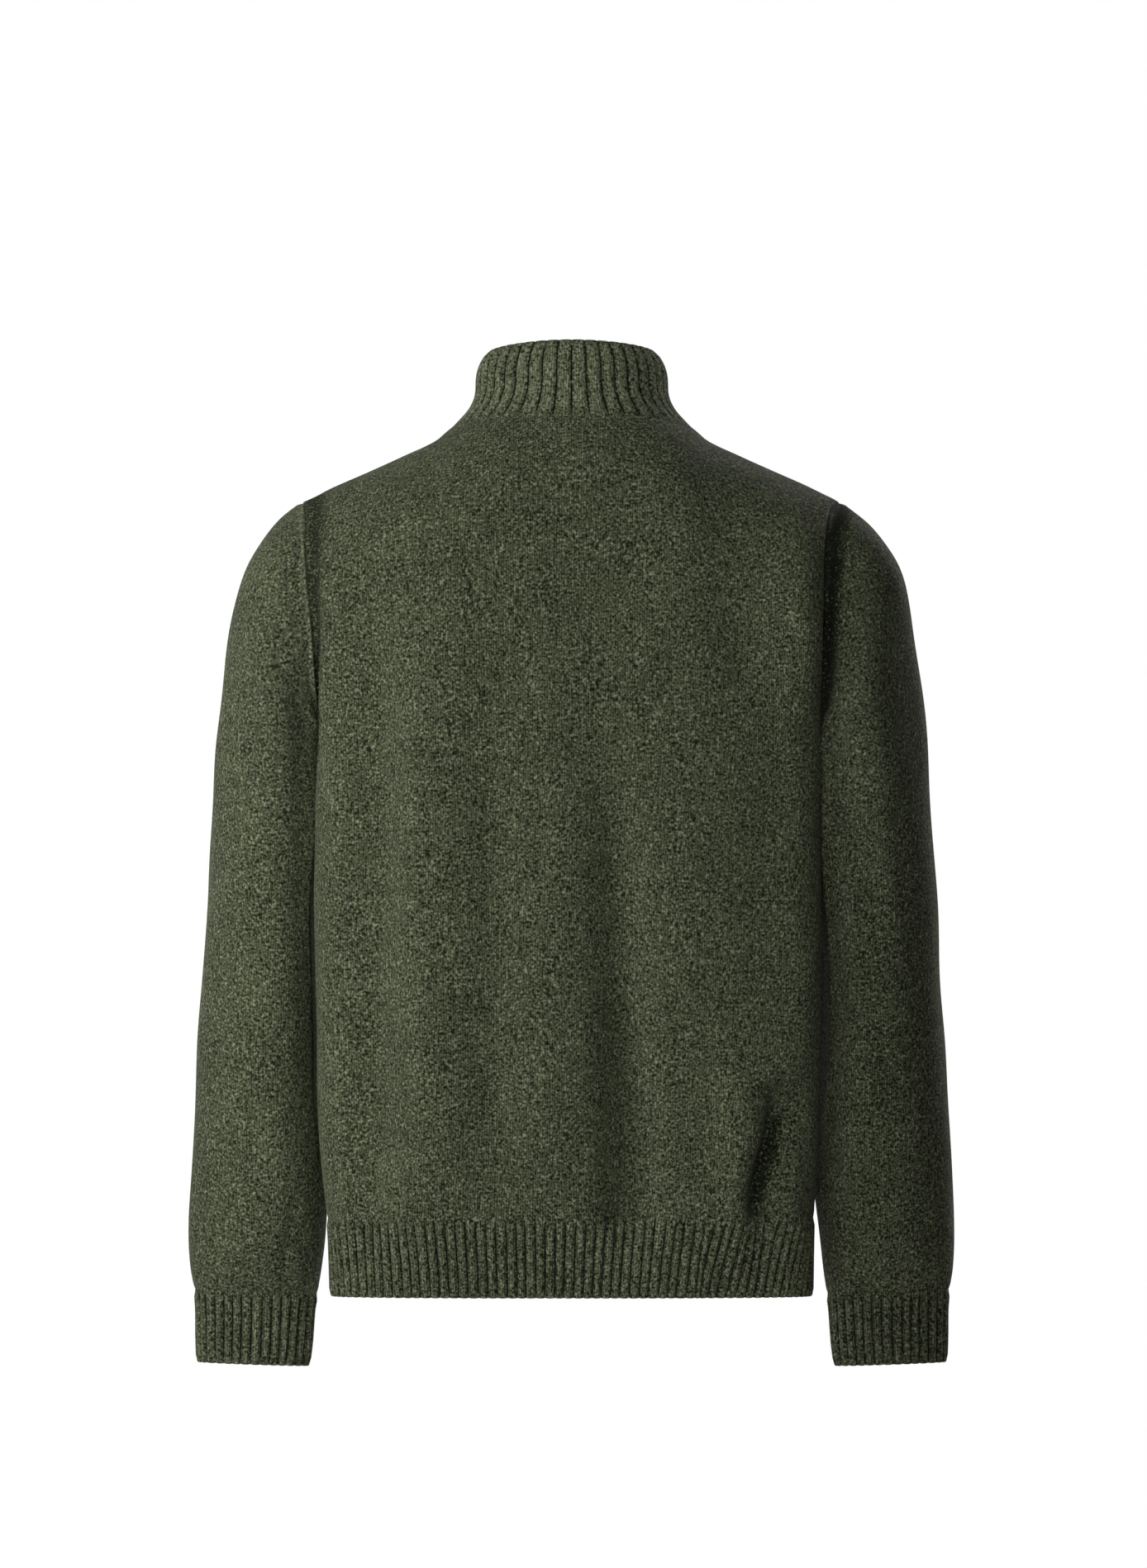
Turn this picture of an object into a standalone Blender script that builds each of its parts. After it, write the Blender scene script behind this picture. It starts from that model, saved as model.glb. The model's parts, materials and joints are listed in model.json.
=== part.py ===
"""A high-necked knitted cardigan with a full-length zip, standing open and hollow as if it were worn.

Metres, +Z up. The front faces -Y, so the back faces +Y, and the wearer's left is +X. The origin is the point
midway between the two neck ends of the shoulder seams, where the wearer's neck and shoulders carry the garment.

Each cut or knitted piece is first a sheet: a grid of points on the cloth's outer face, rows running upwards (on
a sleeve and its cuff, downwards) and columns running across. Sheets that are sewn together share the points of
their seam. The sheets get a common normal at each point, and every sheet then becomes a wall of cloth.
"""

import math
from typing import NamedTuple

import bpy
import numpy as np

# ---------------------------------------------------------------- driving dimensions
SEAM_GAP = 0.0003  # between two pieces that are sewn together
KNIT_WALL = 0.0025  # plain knit
RIB_HEIGHT = 0.0013  # how far a rib's crown stands above its grooves
RIB_CROWN = (0.2, 0.8)  # where a crown's two edges lie between one groove and the next
FOLD_BACK = 0.2  # pieces whose normals agree less than this at a seam fold back on each other
LEAST_AGREEMENT = 0.6  # keeps a shared normal from growing too long where pieces meet at an angle

HEM_BOTTOM_Z = -0.656
HEM_RIB_HEIGHT = 0.058
CHEST_Z = -0.235  # the level of the underarms
FRONT_EDGE_X = 0.0055  # half the slot that the zip closes
SECTION_POWER_BACK = 2.5  # 2 is an ellipse, more is squarer
SECTION_POWER_FRONT = 2.3

NECK_X = 0.093  # the neck end of the shoulder seam
NECK_BACK_Y = 0.062  # how far the neck seam reaches back from that seam
NECK_FRONT_Y = 0.080
RIDGE_RISE = 0.0228  # how much higher the shoulder line would be at the centre than at the neck
RIDGE_CURVE = 2.0
NECK_LIFT = 0.0112  # how far the cloth flares up to the neck seam, from NECK_FOOT_X inwards
NECK_FOOT_X = 0.102
NECK_LIFT_CURVE = 2.5
DEPTH_CURVE = 2.6  # how late the body thins out from the centre to the armhole
ROUNDING_CURVE = 1.2
ROUNDING_BACK = 0.112  # the height over which the cloth rounds down from the shoulder line, at the centre
ROUNDING_FRONT = 0.240
ARMHOLE_DEPTH = 0.060  # half the armhole's width, back or front
COLLAR_WAIST_X = 0.0725
COLLAR_WAIST_BACK_Y = 0.053
COLLAR_WAIST_FRONT_Y = -0.064
COLLAR_TOP_X = 0.063
COLLAR_TOP_BACK = (0.049, 0.0715)
COLLAR_TOP_FRONT = (-0.059, 0.034)
COLLAR_TOP_SIDE_Z = 0.0635
COLLAR_WAIST_AT = 0.55  # the share of the collar's height at which it is straight
COLLAR_FLARE_BELOW = 2.2  # how late it flares out below there, and turns in above
COLLAR_TURN_ABOVE = 2.5
COLLAR_DIP = 1.25
COLLAR_ROWS = (0.0, 0.13, 0.30, 0.52, 0.76, 0.92, 1.0)
HEM_ROWS = np.array([0.0, 0.45, 1.0])

BACK_RIBS = 61
FRONT_RIBS = 30  # on each front
CUFF_RIBS = 31

NECK_COLUMNS = 10  # from the centre to the neck end of the shoulder seam, and so many of the collar's ribs
SHOULDER_COLUMNS = 6  # along a shoulder seam
CHEST_ROWS = 6  # from the rib to the underarm
YOKE_ROWS = 11  # from the underarm to the shoulder
NECK_SHARE = 0.44  # how much of a panel's width ends at the neck
NECK_LEAN = 2.0  # how a column slants: 1 is straight, and more keeps its lower part upright
ARMHOLE_TURN = 8  # how close to the armhole the cloth starts to turn under the arm
ARMHOLE_LEAN_LEFT = 1.5
ARMHOLE_LEAN_RIGHT = 3.5


class TorsoSection(NamedTuple):
    """One level of the body: half widths to the wearer's left and right, and depths to the back and front."""

    z: float
    left: float
    right: float
    back: float
    front: float


TORSO = (
    TorsoSection(z=-0.656, left=0.1835, right=0.1830, back=0.080, front=0.088),
    TorsoSection(z=-0.628, left=0.1845, right=0.1835, back=0.084, front=0.092),
    TorsoSection(z=-0.598, left=0.1855, right=0.1845, back=0.091, front=0.100),
    TorsoSection(z=-0.560, left=0.1875, right=0.1865, back=0.097, front=0.107),
    TorsoSection(z=-0.500, left=0.1895, right=0.1880, back=0.099, front=0.110),
    TorsoSection(z=-0.362, left=0.1915, right=0.1885, back=0.100, front=0.112),
    TorsoSection(z=-0.235, left=0.1940, right=0.1865, back=0.103, front=0.113),
)


class ShoulderPoint(NamedTuple):
    """A point of the shoulder seam, which runs along the top of the shoulder."""

    x: float
    z: float


SHOULDER = (
    ShoulderPoint(x=0.093, z=0.0012),
    ShoulderPoint(x=0.101, z=-0.0027),
    ShoulderPoint(x=0.128, z=-0.0158),
    ShoulderPoint(x=0.154, z=-0.0280),
    ShoulderPoint(x=0.181, z=-0.0410),
    ShoulderPoint(x=0.205, z=-0.0525),
)


class SleeveRing(NamedTuple):
    """One ring round the sleeve: its outermost and innermost points, its depth, and how far forward it hangs."""

    outer_x: float
    outer_z: float
    inner_x: float
    inner_z: float
    depth: float
    centre_y: float


SLEEVE = (
    SleeveRing(outer_x=0.2050, outer_z=-0.0525, inner_x=0.1940, inner_z=-0.235, depth=0.120, centre_y=0.000),
    SleeveRing(outer_x=0.2160, outer_z=-0.0590, inner_x=0.1944, inner_z=-0.236, depth=0.127, centre_y=-0.001),
    SleeveRing(outer_x=0.2280, outer_z=-0.0690, inner_x=0.1948, inner_z=-0.238, depth=0.132, centre_y=-0.002),
    SleeveRing(outer_x=0.2390, outer_z=-0.0840, inner_x=0.1952, inner_z=-0.241, depth=0.135, centre_y=-0.003),
    SleeveRing(outer_x=0.2490, outer_z=-0.1040, inner_x=0.1954, inner_z=-0.245, depth=0.136, centre_y=-0.005),
    SleeveRing(outer_x=0.2560, outer_z=-0.1300, inner_x=0.1953, inner_z=-0.251, depth=0.136, centre_y=-0.007),
    SleeveRing(outer_x=0.2620, outer_z=-0.1670, inner_x=0.1945, inner_z=-0.261, depth=0.134, centre_y=-0.010),
    SleeveRing(outer_x=0.2670, outer_z=-0.2080, inner_x=0.1925, inner_z=-0.277, depth=0.130, centre_y=-0.014),
    SleeveRing(outer_x=0.2720, outer_z=-0.2550, inner_x=0.1895, inner_z=-0.302, depth=0.124, centre_y=-0.019),
    SleeveRing(outer_x=0.2765, outer_z=-0.3150, inner_x=0.1865, inner_z=-0.342, depth=0.118, centre_y=-0.024),
    SleeveRing(outer_x=0.2800, outer_z=-0.3800, inner_x=0.1840, inner_z=-0.394, depth=0.112, centre_y=-0.029),
    SleeveRing(outer_x=0.2840, outer_z=-0.4460, inner_x=0.1830, inner_z=-0.452, depth=0.106, centre_y=-0.033),
    SleeveRing(outer_x=0.2880, outer_z=-0.5120, inner_x=0.1832, inner_z=-0.514, depth=0.100, centre_y=-0.037),
    SleeveRing(outer_x=0.2915, outer_z=-0.5750, inner_x=0.1850, inner_z=-0.575, depth=0.094, centre_y=-0.040),
    SleeveRing(outer_x=0.2922, outer_z=-0.6090, inner_x=0.1882, inner_z=-0.610, depth=0.088, centre_y=-0.042),
    SleeveRing(outer_x=0.2912, outer_z=-0.6380, inner_x=0.1922, inner_z=-0.640, depth=0.075, centre_y=-0.044),
    SleeveRing(outer_x=0.2885, outer_z=-0.6540, inner_x=0.1955, inner_z=-0.657, depth=0.060, centre_y=-0.045),
)
CUFF = (
    SLEEVE[-1],
    SleeveRing(outer_x=0.2870, outer_z=-0.6680, inner_x=0.1972, inner_z=-0.671, depth=0.054, centre_y=-0.046),
    SleeveRing(outer_x=0.2868, outer_z=-0.6900, inner_x=0.1988, inner_z=-0.693, depth=0.050, centre_y=-0.047),
    SleeveRing(outer_x=0.2862, outer_z=-0.7080, inner_x=0.2010, inner_z=-0.711, depth=0.049, centre_y=-0.048),
)
SLEEVE_POWER = 2.2
SLEEVE_SETTLES = 9  # how many rings it takes from the armhole's shape to an oval
SLEEVE_CLEARANCE = 0.0018  # between a sleeve and the side of the body
RIGHT_ARM_TUCK = 0.0052  # how much closer to the middle the right underarm lies


class Fold(NamedTuple):
    """A soft trough (depth under 0) or ridge that runs down a panel from one height to another."""

    x: float
    top: float
    bottom: float
    lean: float  # how far it drifts in x from top to bottom
    half_width: float
    depth: float


BACK_FOLDS = (
    Fold(x=-0.027, top=-0.250, bottom=-0.640, lean=0.006, half_width=0.024, depth=-0.0048),
    Fold(x=0.062, top=-0.230, bottom=-0.600, lean=0.010, half_width=0.024, depth=-0.0042),
    Fold(x=0.120, top=-0.330, bottom=-0.640, lean=0.012, half_width=0.028, depth=0.0040),
    Fold(x=0.014, top=-0.340, bottom=-0.630, lean=0.002, half_width=0.024, depth=0.0035),
    Fold(x=-0.078, top=-0.280, bottom=-0.600, lean=-0.006, half_width=0.028, depth=0.0035),
    Fold(x=-0.151, top=-0.500, bottom=-0.606, lean=0.008, half_width=0.012, depth=-0.0095),
    Fold(x=-0.126, top=-0.490, bottom=-0.610, lean=0.006, half_width=0.017, depth=0.0050),
    Fold(x=0.160, top=-0.535, bottom=-0.620, lean=0.000, half_width=0.014, depth=-0.0040),
    Fold(x=0.172, top=-0.030, bottom=-0.190, lean=-0.006, half_width=0.020, depth=-0.0045),
    Fold(x=-0.110, top=-0.020, bottom=-0.200, lean=-0.024, half_width=0.024, depth=-0.0040),
)
FRONT_FOLDS = (
    Fold(x=0.060, top=-0.230, bottom=-0.620, lean=0.012, half_width=0.024, depth=-0.0045),
    Fold(x=-0.072, top=-0.300, bottom=-0.640, lean=-0.006, half_width=0.022, depth=-0.0050),
    Fold(x=0.112, top=-0.400, bottom=-0.640, lean=0.004, half_width=0.022, depth=0.0040),
    Fold(x=-0.118, top=-0.350, bottom=-0.600, lean=0.006, half_width=0.026, depth=0.0035),
    Fold(x=0.165, top=-0.040, bottom=-0.200, lean=-0.020, half_width=0.020, depth=-0.0050),
    Fold(x=-0.165, top=-0.040, bottom=-0.220, lean=0.018, half_width=0.020, depth=-0.0045),
)


FOLD_START = 0.3  # the shares of a fold's length over which it deepens and dies away
FOLD_END = 0.25
TOP_FADE = 0.18  # the shares of a panel beside its seams where folds die away
SIDE_FADE = 0.09


class SleeveFold(NamedTuple):
    """A soft trough or ridge on a sleeve. Turns count round the sleeve: 0 underarm, 0.25 back, 0.5 outside."""

    turn: float
    top: float  # shares of the sleeve's length
    bottom: float
    drift: float
    half_turn: float
    depth: float


SLEEVE_FOLDS = (
    SleeveFold(turn=0.10, top=0.04, bottom=0.50, drift=0.12, half_turn=0.040, depth=-0.0050),
    SleeveFold(turn=0.30, top=0.30, bottom=0.95, drift=-0.06, half_turn=0.050, depth=-0.0035),
    SleeveFold(turn=0.42, top=0.10, bottom=0.60, drift=0.03, half_turn=0.050, depth=0.0030),
    SleeveFold(turn=0.72, top=0.35, bottom=0.90, drift=0.05, half_turn=0.050, depth=-0.0040),
    SleeveFold(turn=0.90, top=0.04, bottom=0.45, drift=-0.12, half_turn=0.040, depth=-0.0050),
)

# ---------------------------------------------------------------- zip
TAPE_INNER_X = 0.0004
TAPE_WIDTH = 0.0150
TAPE_THICKNESS = 0.0007
TAPE_CLEARANCE = 0.0004
CHAIN_HALF_WIDTH = 0.0029
CHAIN_THICKNESS = 0.0022
CHAIN_FACE_SHARE = 0.8  # how wide its front is, against its back
SLIDER_WIDTH = 0.0084
SLIDER_LENGTH = 0.0120
SLIDER_BELOW_TOP = 0.0040
SLIDER_FACE = 0.0036  # how far the slider's face stands out from the tapes
BOX_FACE = 0.0030
LUG_GAP = 0.0042
LUG_WIDTH = 0.0013
LUG_LENGTH = 0.0040
PIN_RADIUS = 0.0007
PIN_OFFSET = 0.0024  # from the slider's face to the middle of the pin
TAB_WIDTH = 0.0036
TAB_END_WIDTH = 0.0062
TAB_LENGTH = 0.0270
TAB_THICKNESS = 0.0012
TAB_EYE_RADIUS = 0.0010
TAB_EYE_RIM = 0.0019
BOX_WIDTH = 0.0080
BOX_LENGTH = 0.0095
ROUND_STEPS = 12
METAL_CHAMFER = 0.0008
LUG_ROOT = 0.0010  # how far the lugs reach into the slider's body, and past the middle of the pin
LUG_TOP = 0.0014
PIN_AT = 0.55  # the share of the slider's length at which the pin sits


class TabRow(NamedTuple):
    """Half the pull tab's width at a share of its length below the pin."""

    down: float
    half_width: float


TAB_OUTLINE = (
    TabRow(down=0.00, half_width=TAB_WIDTH / 2),
    TabRow(down=0.30, half_width=TAB_WIDTH / 2),
    TabRow(down=0.45, half_width=TAB_END_WIDTH / 2),
    TabRow(down=0.92, half_width=TAB_END_WIDTH / 2),
    TabRow(down=1.00, half_width=0.3 * TAB_END_WIDTH),
)

OLIVE_MARL = (0.062, 0.071, 0.041)
OLIVE_TAPE = (0.030, 0.036, 0.020)
DARK_METAL = (0.16, 0.155, 0.14)

SIDE = np.array((1.0, 0.0, 0.0))
FORWARD_BACK = np.array((0.0, 1.0, 0.0))


# ---------------------------------------------------------------- curves
def column(table, name):
    """One named column of a table as an array."""
    return np.array([getattr(row, name) for row in table])


def smooth(at, known, values):
    """A curve through (known, values) with no kinks, read at the given places. known runs upwards."""
    at = np.clip(at, known[0], known[-1])
    slopes = np.gradient(values, known)
    i = np.clip(np.searchsorted(known, at, side="right") - 1, 0, len(known) - 2)
    span = known[i + 1] - known[i]
    t = (at - known[i]) / span
    start, end = values[i], values[i + 1]
    return (
        start * (1 + 2 * t) * (1 - t) ** 2
        + end * t * t * (3 - 2 * t)
        + span * (slopes[i] * t * (1 - t) ** 2 - slopes[i + 1] * t * t * (1 - t))
    )


def ease(t):
    """0 below 0, 1 above 1, and smooth between."""
    t = np.clip(t, 0, 1)
    return t * t * (3 - 2 * t)


def mix(a, b, share):
    """a where share is 0, b where it is 1."""
    return a + (b - a) * share


def section_quarter(shares, half_width, depth, power, centre_x):
    """Points of a quarter of a body section, from its middle (share 0) round to the side seam (share 1)."""
    angle = np.linspace(0, math.pi / 2, 181)
    x = centre_x + (half_width - centre_x) * np.sin(angle) ** (2 / power)
    y = depth * np.cos(angle) ** (2 / power)
    length = np.concatenate([[0], np.cumsum(np.hypot(np.diff(x), np.diff(y)))])
    at = np.asarray(shares) * length[-1]
    return np.interp(at, length, x), np.interp(at, length, y)


# ---------------------------------------------------------------- body panels
def panel_shares():
    """How far from the centre (0) to the side (1) each column of a panel lies."""
    to_neck = np.linspace(0, NECK_SHARE, NECK_COLUMNS + 1)
    to_side = np.linspace(NECK_SHARE, 1, SHOULDER_COLUMNS + 1)
    return np.concatenate([to_neck, to_side[1:]])


def torso_row(z, shares, left, back):
    """One level of a half panel below the underarm."""
    heights = column(TORSO, "z")
    half_width = smooth(z, heights, column(TORSO, "left" if left else "right"))
    depth = smooth(z, heights, column(TORSO, "back" if back else "front"))
    power = SECTION_POWER_BACK if back else SECTION_POWER_FRONT
    x, y = section_quarter(shares, half_width, depth, power, 0 if back else FRONT_EDGE_X)
    return np.stack([x if left else -x, y if back else -y, np.full(len(x), z)], axis=1)


def shoulder_line(x):
    """The height of the shoulder line at each x. Over the neck it runs on, where there is no cloth."""
    x = np.abs(x)
    above = RIDGE_RISE * (1 - (np.minimum(x, NECK_X) / NECK_X) ** RIDGE_CURVE)
    return above + smooth(x, column(SHOULDER, "x"), column(SHOULDER, "z"))


def neck_lift(x):
    """How much higher the cloth ends at the neck seam than its smooth form would."""
    return NECK_LIFT * (1 - np.minimum(1, np.abs(x) / NECK_FOOT_X) ** NECK_LIFT_CURVE)


def upper_depth(share, back):
    """A column's greatest depth, and the height over which it rounds down to it from the shoulder line."""
    armhole_half = (SHOULDER[-1].z - CHEST_Z) / 2
    depth = mix(TORSO[-1].back if back else TORSO[-1].front, ARMHOLE_DEPTH, share**DEPTH_CURVE)
    return depth, mix(ROUNDING_BACK if back else ROUNDING_FRONT, armhole_half, share**ROUNDING_CURVE)


def top_row(shares, left, back):
    """The upper edge of a half panel: the neck seam, then the shoulder seam."""
    turn = np.clip(shares / NECK_SHARE, 0, 1) * math.pi / 2
    along = np.clip((shares - NECK_SHARE) / (1 - NECK_SHARE), 0, 1)
    centre_x = 0 if back else FRONT_EDGE_X
    neck_x = centre_x + (NECK_X - centre_x) * np.sin(turn)
    x = np.where(shares <= NECK_SHARE, neck_x, mix(SHOULDER[0].x, SHOULDER[-1].x, along))
    y = (NECK_BACK_Y if back else NECK_FRONT_Y) * np.cos(turn)
    depth, height = upper_depth(shares, back)
    z = shoulder_line(x) + neck_lift(x) - height * (1 - np.sqrt(1 - (y / depth) ** 2))
    return np.stack([x if left else -x, y if back else -y, z], axis=1)


def yoke_column(share, chest, top, left, back):
    """One column from the chest up to the neck or shoulder seam, at even lengths."""
    depth, height = upper_depth(share, back)
    level = (shoulder_line(top[0]) - height - chest[2]) / (top[2] - neck_lift(top[0]) - chest[2])
    up = np.concatenate([np.linspace(0, level, 41)[:-1], np.linspace(level, 1, 41)])
    lean = mix(NECK_LEAN, ARMHOLE_LEAN_LEFT if left else ARMHOLE_LEAN_RIGHT, share**4)
    x = mix(chest[0], top[0], up**lean)
    over = np.clip((up - level) / (1 - level), 0, 1)
    angle = mix(math.pi / 2, math.asin(abs(top[1]) / depth), over)
    rise = np.minimum(1, up / level)
    swell = mix(ease(rise), np.sqrt(1 - (1 - rise) ** 2), share**ARMHOLE_TURN)
    ridge = shoulder_line(x)
    y = np.where(up < level, mix(abs(chest[1]), depth, swell), depth * np.sin(angle))
    z = np.where(up < level, mix(chest[2], ridge - height, rise), ridge - height * (1 - np.cos(angle)))
    z = z + neck_lift(x) * ease(over)
    points = np.stack([x, y if back else -y, z], axis=1)
    length = np.concatenate([[0], np.cumsum(np.linalg.norm(np.diff(points, axis=0), axis=1))])
    stops = np.linspace(0, length[-1], YOKE_ROWS + 1)[1:]
    return np.stack([np.interp(stops, length, points[:, k]) for k in range(3)], axis=1)


def half_panel(left, back):
    """The points of half a body panel, hem seam at the bottom: rows x columns x 3."""
    shares = panel_shares()
    levels = np.linspace(HEM_BOTTOM_Z + HEM_RIB_HEIGHT, CHEST_Z, CHEST_ROWS + 1)
    rows = [torso_row(z, shares, left, back) for z in levels]
    top = top_row(shares, left, back)
    columns = [yoke_column(*ends, left, back) for ends in zip(shares, rows[-1], top)]
    return np.concatenate([rows, np.stack(columns, axis=1)])


def outward(points, closed=False):
    """Normals of a sheet's own faces, averaged at its points. Rows run up and columns run against the clock."""
    ring = np.concatenate([points, points[:, :1]], axis=1) if closed else points
    faces = np.cross(ring[1:, 1:] - ring[:-1, :-1], ring[1:, :-1] - ring[:-1, 1:])
    total = np.zeros_like(ring)
    for rows in (slice(0, -1), slice(1, None)):
        for columns in (slice(0, -1), slice(1, None)):
            total[rows, columns] += faces
    if closed:
        total[:, 0] += total[:, -1]
        total = total[:, :-1]
    return total / np.linalg.norm(total, axis=2, keepdims=True)


def fold_height(points, folds):
    """How far the folds push each point of a body panel in or out."""
    x, z = points[..., 0], points[..., 2]
    height = np.zeros_like(x)
    for fold in folds:
        down = (fold.top - z) / (fold.top - fold.bottom)
        across = (x - fold.x - fold.lean * down) / fold.half_width
        along = ease(down / FOLD_START) * ease((1 - down) / FOLD_END)
        height += fold.depth * along * np.exp(-(across**2))
    return height


def edge_fade(rows, columns, side_seams):
    """1 on the open panel and 0 on its side, armhole, shoulder and neck seams."""
    up = np.arange(rows)[:, None] / (rows - 1)
    across = np.arange(columns)[None] / (columns - 1)
    fade = ease((1 - up) / TOP_FADE) * np.ones((rows, columns))
    if "start" in side_seams:
        fade = fade * ease(across / SIDE_FADE)
    if "end" in side_seams:
        fade = fade * ease((1 - across) / SIDE_FADE)
    return fade


def folded(points, folds, side_seams):
    """A panel pushed in and out by its folds, along its own normals."""
    fade = edge_fade(points.shape[0], points.shape[1], side_seams)
    return points + outward(points) * (fold_height(points, folds) * fade)[..., None]


def back_sheet():
    """The whole back, from its left side seam (the wearer's) to its right one."""
    left, right = half_panel(True, True), half_panel(False, True)
    return folded(np.concatenate([left[:, ::-1], right[:, 1:]], axis=1), BACK_FOLDS, ("start", "end"))


def front_sheet(left):
    """One front, with its columns running against the clock seen from above."""
    panel = half_panel(left, False)
    if left:
        return folded(panel, FRONT_FOLDS, ("end",))
    return folded(panel[:, ::-1], FRONT_FOLDS, ("start",))


# ---------------------------------------------------------------- ribbed hem and collar
def hem_sheet(panel, back, left=True):
    """The rib below a panel. It starts on the panel's bottom row and takes its folds half way down."""
    levels = HEM_BOTTOM_Z + HEM_RIB_HEIGHT * HEM_ROWS
    rows = []
    for z in levels:
        if back:
            sides = [torso_row(z, panel_shares(), side, True) for side in (True, False)]
            rows.append(np.concatenate([sides[0][::-1], sides[1][1:]]))
        else:
            row = torso_row(z, panel_shares(), left, False)
            rows.append(row if left else row[::-1])
    pushed = panel[0] - rows[-1]
    return np.array([row + pushed * share for row, share in zip(rows, HEM_ROWS**2)])


def collar_ring(turn, front, left, x_reach, back_point, front_point, side_z):
    """A point of one of the collar's rings; turn runs from the centre (0) to the side (1)."""
    angle = turn * math.pi / 2
    y, z = front_point if front else back_point
    centre_x = FRONT_EDGE_X if front else 0
    x = centre_x + (x_reach - centre_x) * math.sin(angle)
    return np.array([x if left else -x, y * math.cos(angle), mix(side_z, z, math.cos(angle) ** COLLAR_DIP)])


def collar_sheet(front_left, back, front_right):
    """The standing collar on the panels' neck points, from the left front edge round the back to the right."""
    base = np.concatenate(
        [
            front_left[-1, : NECK_COLUMNS + 1],
            back[-1, SHOULDER_COLUMNS + 1 : -SHOULDER_COLUMNS],
            front_right[-1, SHOULDER_COLUMNS + 1 :],
        ]
    )
    turns = [(i / NECK_COLUMNS, True, True) for i in range(NECK_COLUMNS + 1)]
    turns += [(1 - i / NECK_COLUMNS, False, True) for i in range(1, NECK_COLUMNS + 1)]
    turns += [(i / NECK_COLUMNS, False, False) for i in range(1, NECK_COLUMNS + 1)]
    turns += [(1 - i / NECK_COLUMNS, True, False) for i in range(1, NECK_COLUMNS + 1)]
    waist_back, waist_front = (COLLAR_WAIST_BACK_Y, 0), (COLLAR_WAIST_FRONT_Y, 0)
    sheet = np.zeros((len(COLLAR_ROWS), len(base), 3))
    for j, (turn, front, left) in enumerate(turns):
        waist = collar_ring(turn, front, left, COLLAR_WAIST_X, waist_back, waist_front, 0)
        top = collar_ring(
            turn, front, left, COLLAR_TOP_X, COLLAR_TOP_BACK, COLLAR_TOP_FRONT, COLLAR_TOP_SIDE_Z
        )
        for i, up in enumerate(COLLAR_ROWS):
            if up < COLLAR_WAIST_AT:
                place = mix(waist, base[j], (1 - up / COLLAR_WAIST_AT) ** COLLAR_FLARE_BELOW)
            else:
                place = mix(waist, top, ((up - COLLAR_WAIST_AT) / (1 - COLLAR_WAIST_AT)) ** COLLAR_TURN_ABOVE)
            sheet[i, j] = (place[0], place[1], mix(base[j, 2], top[2], up))
    return sheet


# ---------------------------------------------------------------- sleeves
def beside_body(rings, left):
    """Pushes the points of a sleeve out of the body's side, below the underarm."""
    heights = column(TORSO, "z")
    x, y, z = np.abs(rings[..., 0]), rings[..., 1], rings[..., 2]
    half_width = smooth(z, heights, column(TORSO, "left" if left else "right"))
    depth = np.where(y > 0, smooth(z, heights, column(TORSO, "back")), smooth(z, heights, column(TORSO, "front")))
    power = np.where(y > 0, SECTION_POWER_BACK, SECTION_POWER_FRONT)
    side = half_width * (1 - np.minimum(1, np.abs(y) / depth) ** power) ** (1 / power)
    clear = np.where(z < CHEST_Z, side + SLEEVE_CLEARANCE, 0)
    rings[..., 0] = np.maximum(x, clear) * (1 if left else -1)
    return rings


def ring_frame(ring, tuck):
    """A ring's centre, half length, the direction of that length, and half depth."""
    outer = np.array([ring.outer_x, ring.centre_y, ring.outer_z])
    inner = np.array([ring.inner_x - tuck, ring.centre_y, ring.inner_z])
    along = (outer - inner) / 2
    return (outer + inner) / 2, np.linalg.norm(along), along / np.linalg.norm(along), ring.depth / 2


def round_loop(count, power):
    """Even turns round a ring from its innermost point over the back: shares along and across it."""
    angle = np.arange(count) / count * 2 * math.pi
    along = -np.sign(np.cos(angle)) * np.abs(np.cos(angle)) ** (2 / power)
    across = np.sign(np.sin(angle)) * np.abs(np.sin(angle)) ** (2 / power)
    return along, across


def sleeve_rings(armhole, left):
    """Rings of a sleeve. The first is the armhole itself, and the shape settles into an oval over some rows."""
    mirror = np.array([1.0 if left else -1.0, 1.0, 1.0])
    loop = armhole * mirror
    first_tuck = 0 if left else RIGHT_ARM_TUCK
    centre, half, direction, depth = ring_frame(SLEEVE[0], first_tuck)
    first = [(loop - centre) @ direction / half, (loop[:, 1] - centre[1]) / depth]
    shift = loop - centre - np.outer(first[0] * half, direction) - np.outer(first[1] * depth, FORWARD_BACK)
    rings = [loop]
    for at in range(1, len(SLEEVE)):
        tuck = first_tuck * (1 - ease(at / (len(SLEEVE) - 3)))
        centre, half, direction, depth = ring_frame(SLEEVE[at], tuck)
        share = ease(at / SLEEVE_SETTLES)
        along, across = (mix(a, b, share) for a, b in zip(first, round_loop(len(loop), SLEEVE_POWER)))
        ring = centre + np.outer(along * half, direction) + np.outer(across * depth, FORWARD_BACK)
        rings.append(ring + shift * (1 - ease(2 * at / SLEEVE_SETTLES)))
    return np.array(rings) * mirror


def sleeve_fold_height(rows, count, folds):
    """How far the folds push each point of a sleeve in or out."""
    down = np.linspace(0, 1, rows)[:, None]
    turn = (np.arange(count) / count)[None]
    height = np.zeros((rows, count))
    for fold in folds:
        share = (down - fold.top) / (fold.bottom - fold.top)
        across = (turn - fold.turn - fold.drift * share + 0.5) % 1 - 0.5
        along = ease(share / FOLD_START) * ease((1 - share) / FOLD_END)
        height += fold.depth * along * np.exp(-((across / fold.half_turn) ** 2))
    return height


def armhole_loop(back, front, left):
    """The armhole seam from the underarm up the back and down the front, as the two panels' edge points."""
    upper = slice(CHEST_ROWS, None)
    back_edge = back[upper, 0 if left else -1]
    front_edge = front[upper, -1 if left else 0]
    return np.concatenate([back_edge, front_edge[-2:0:-1]])


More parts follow.
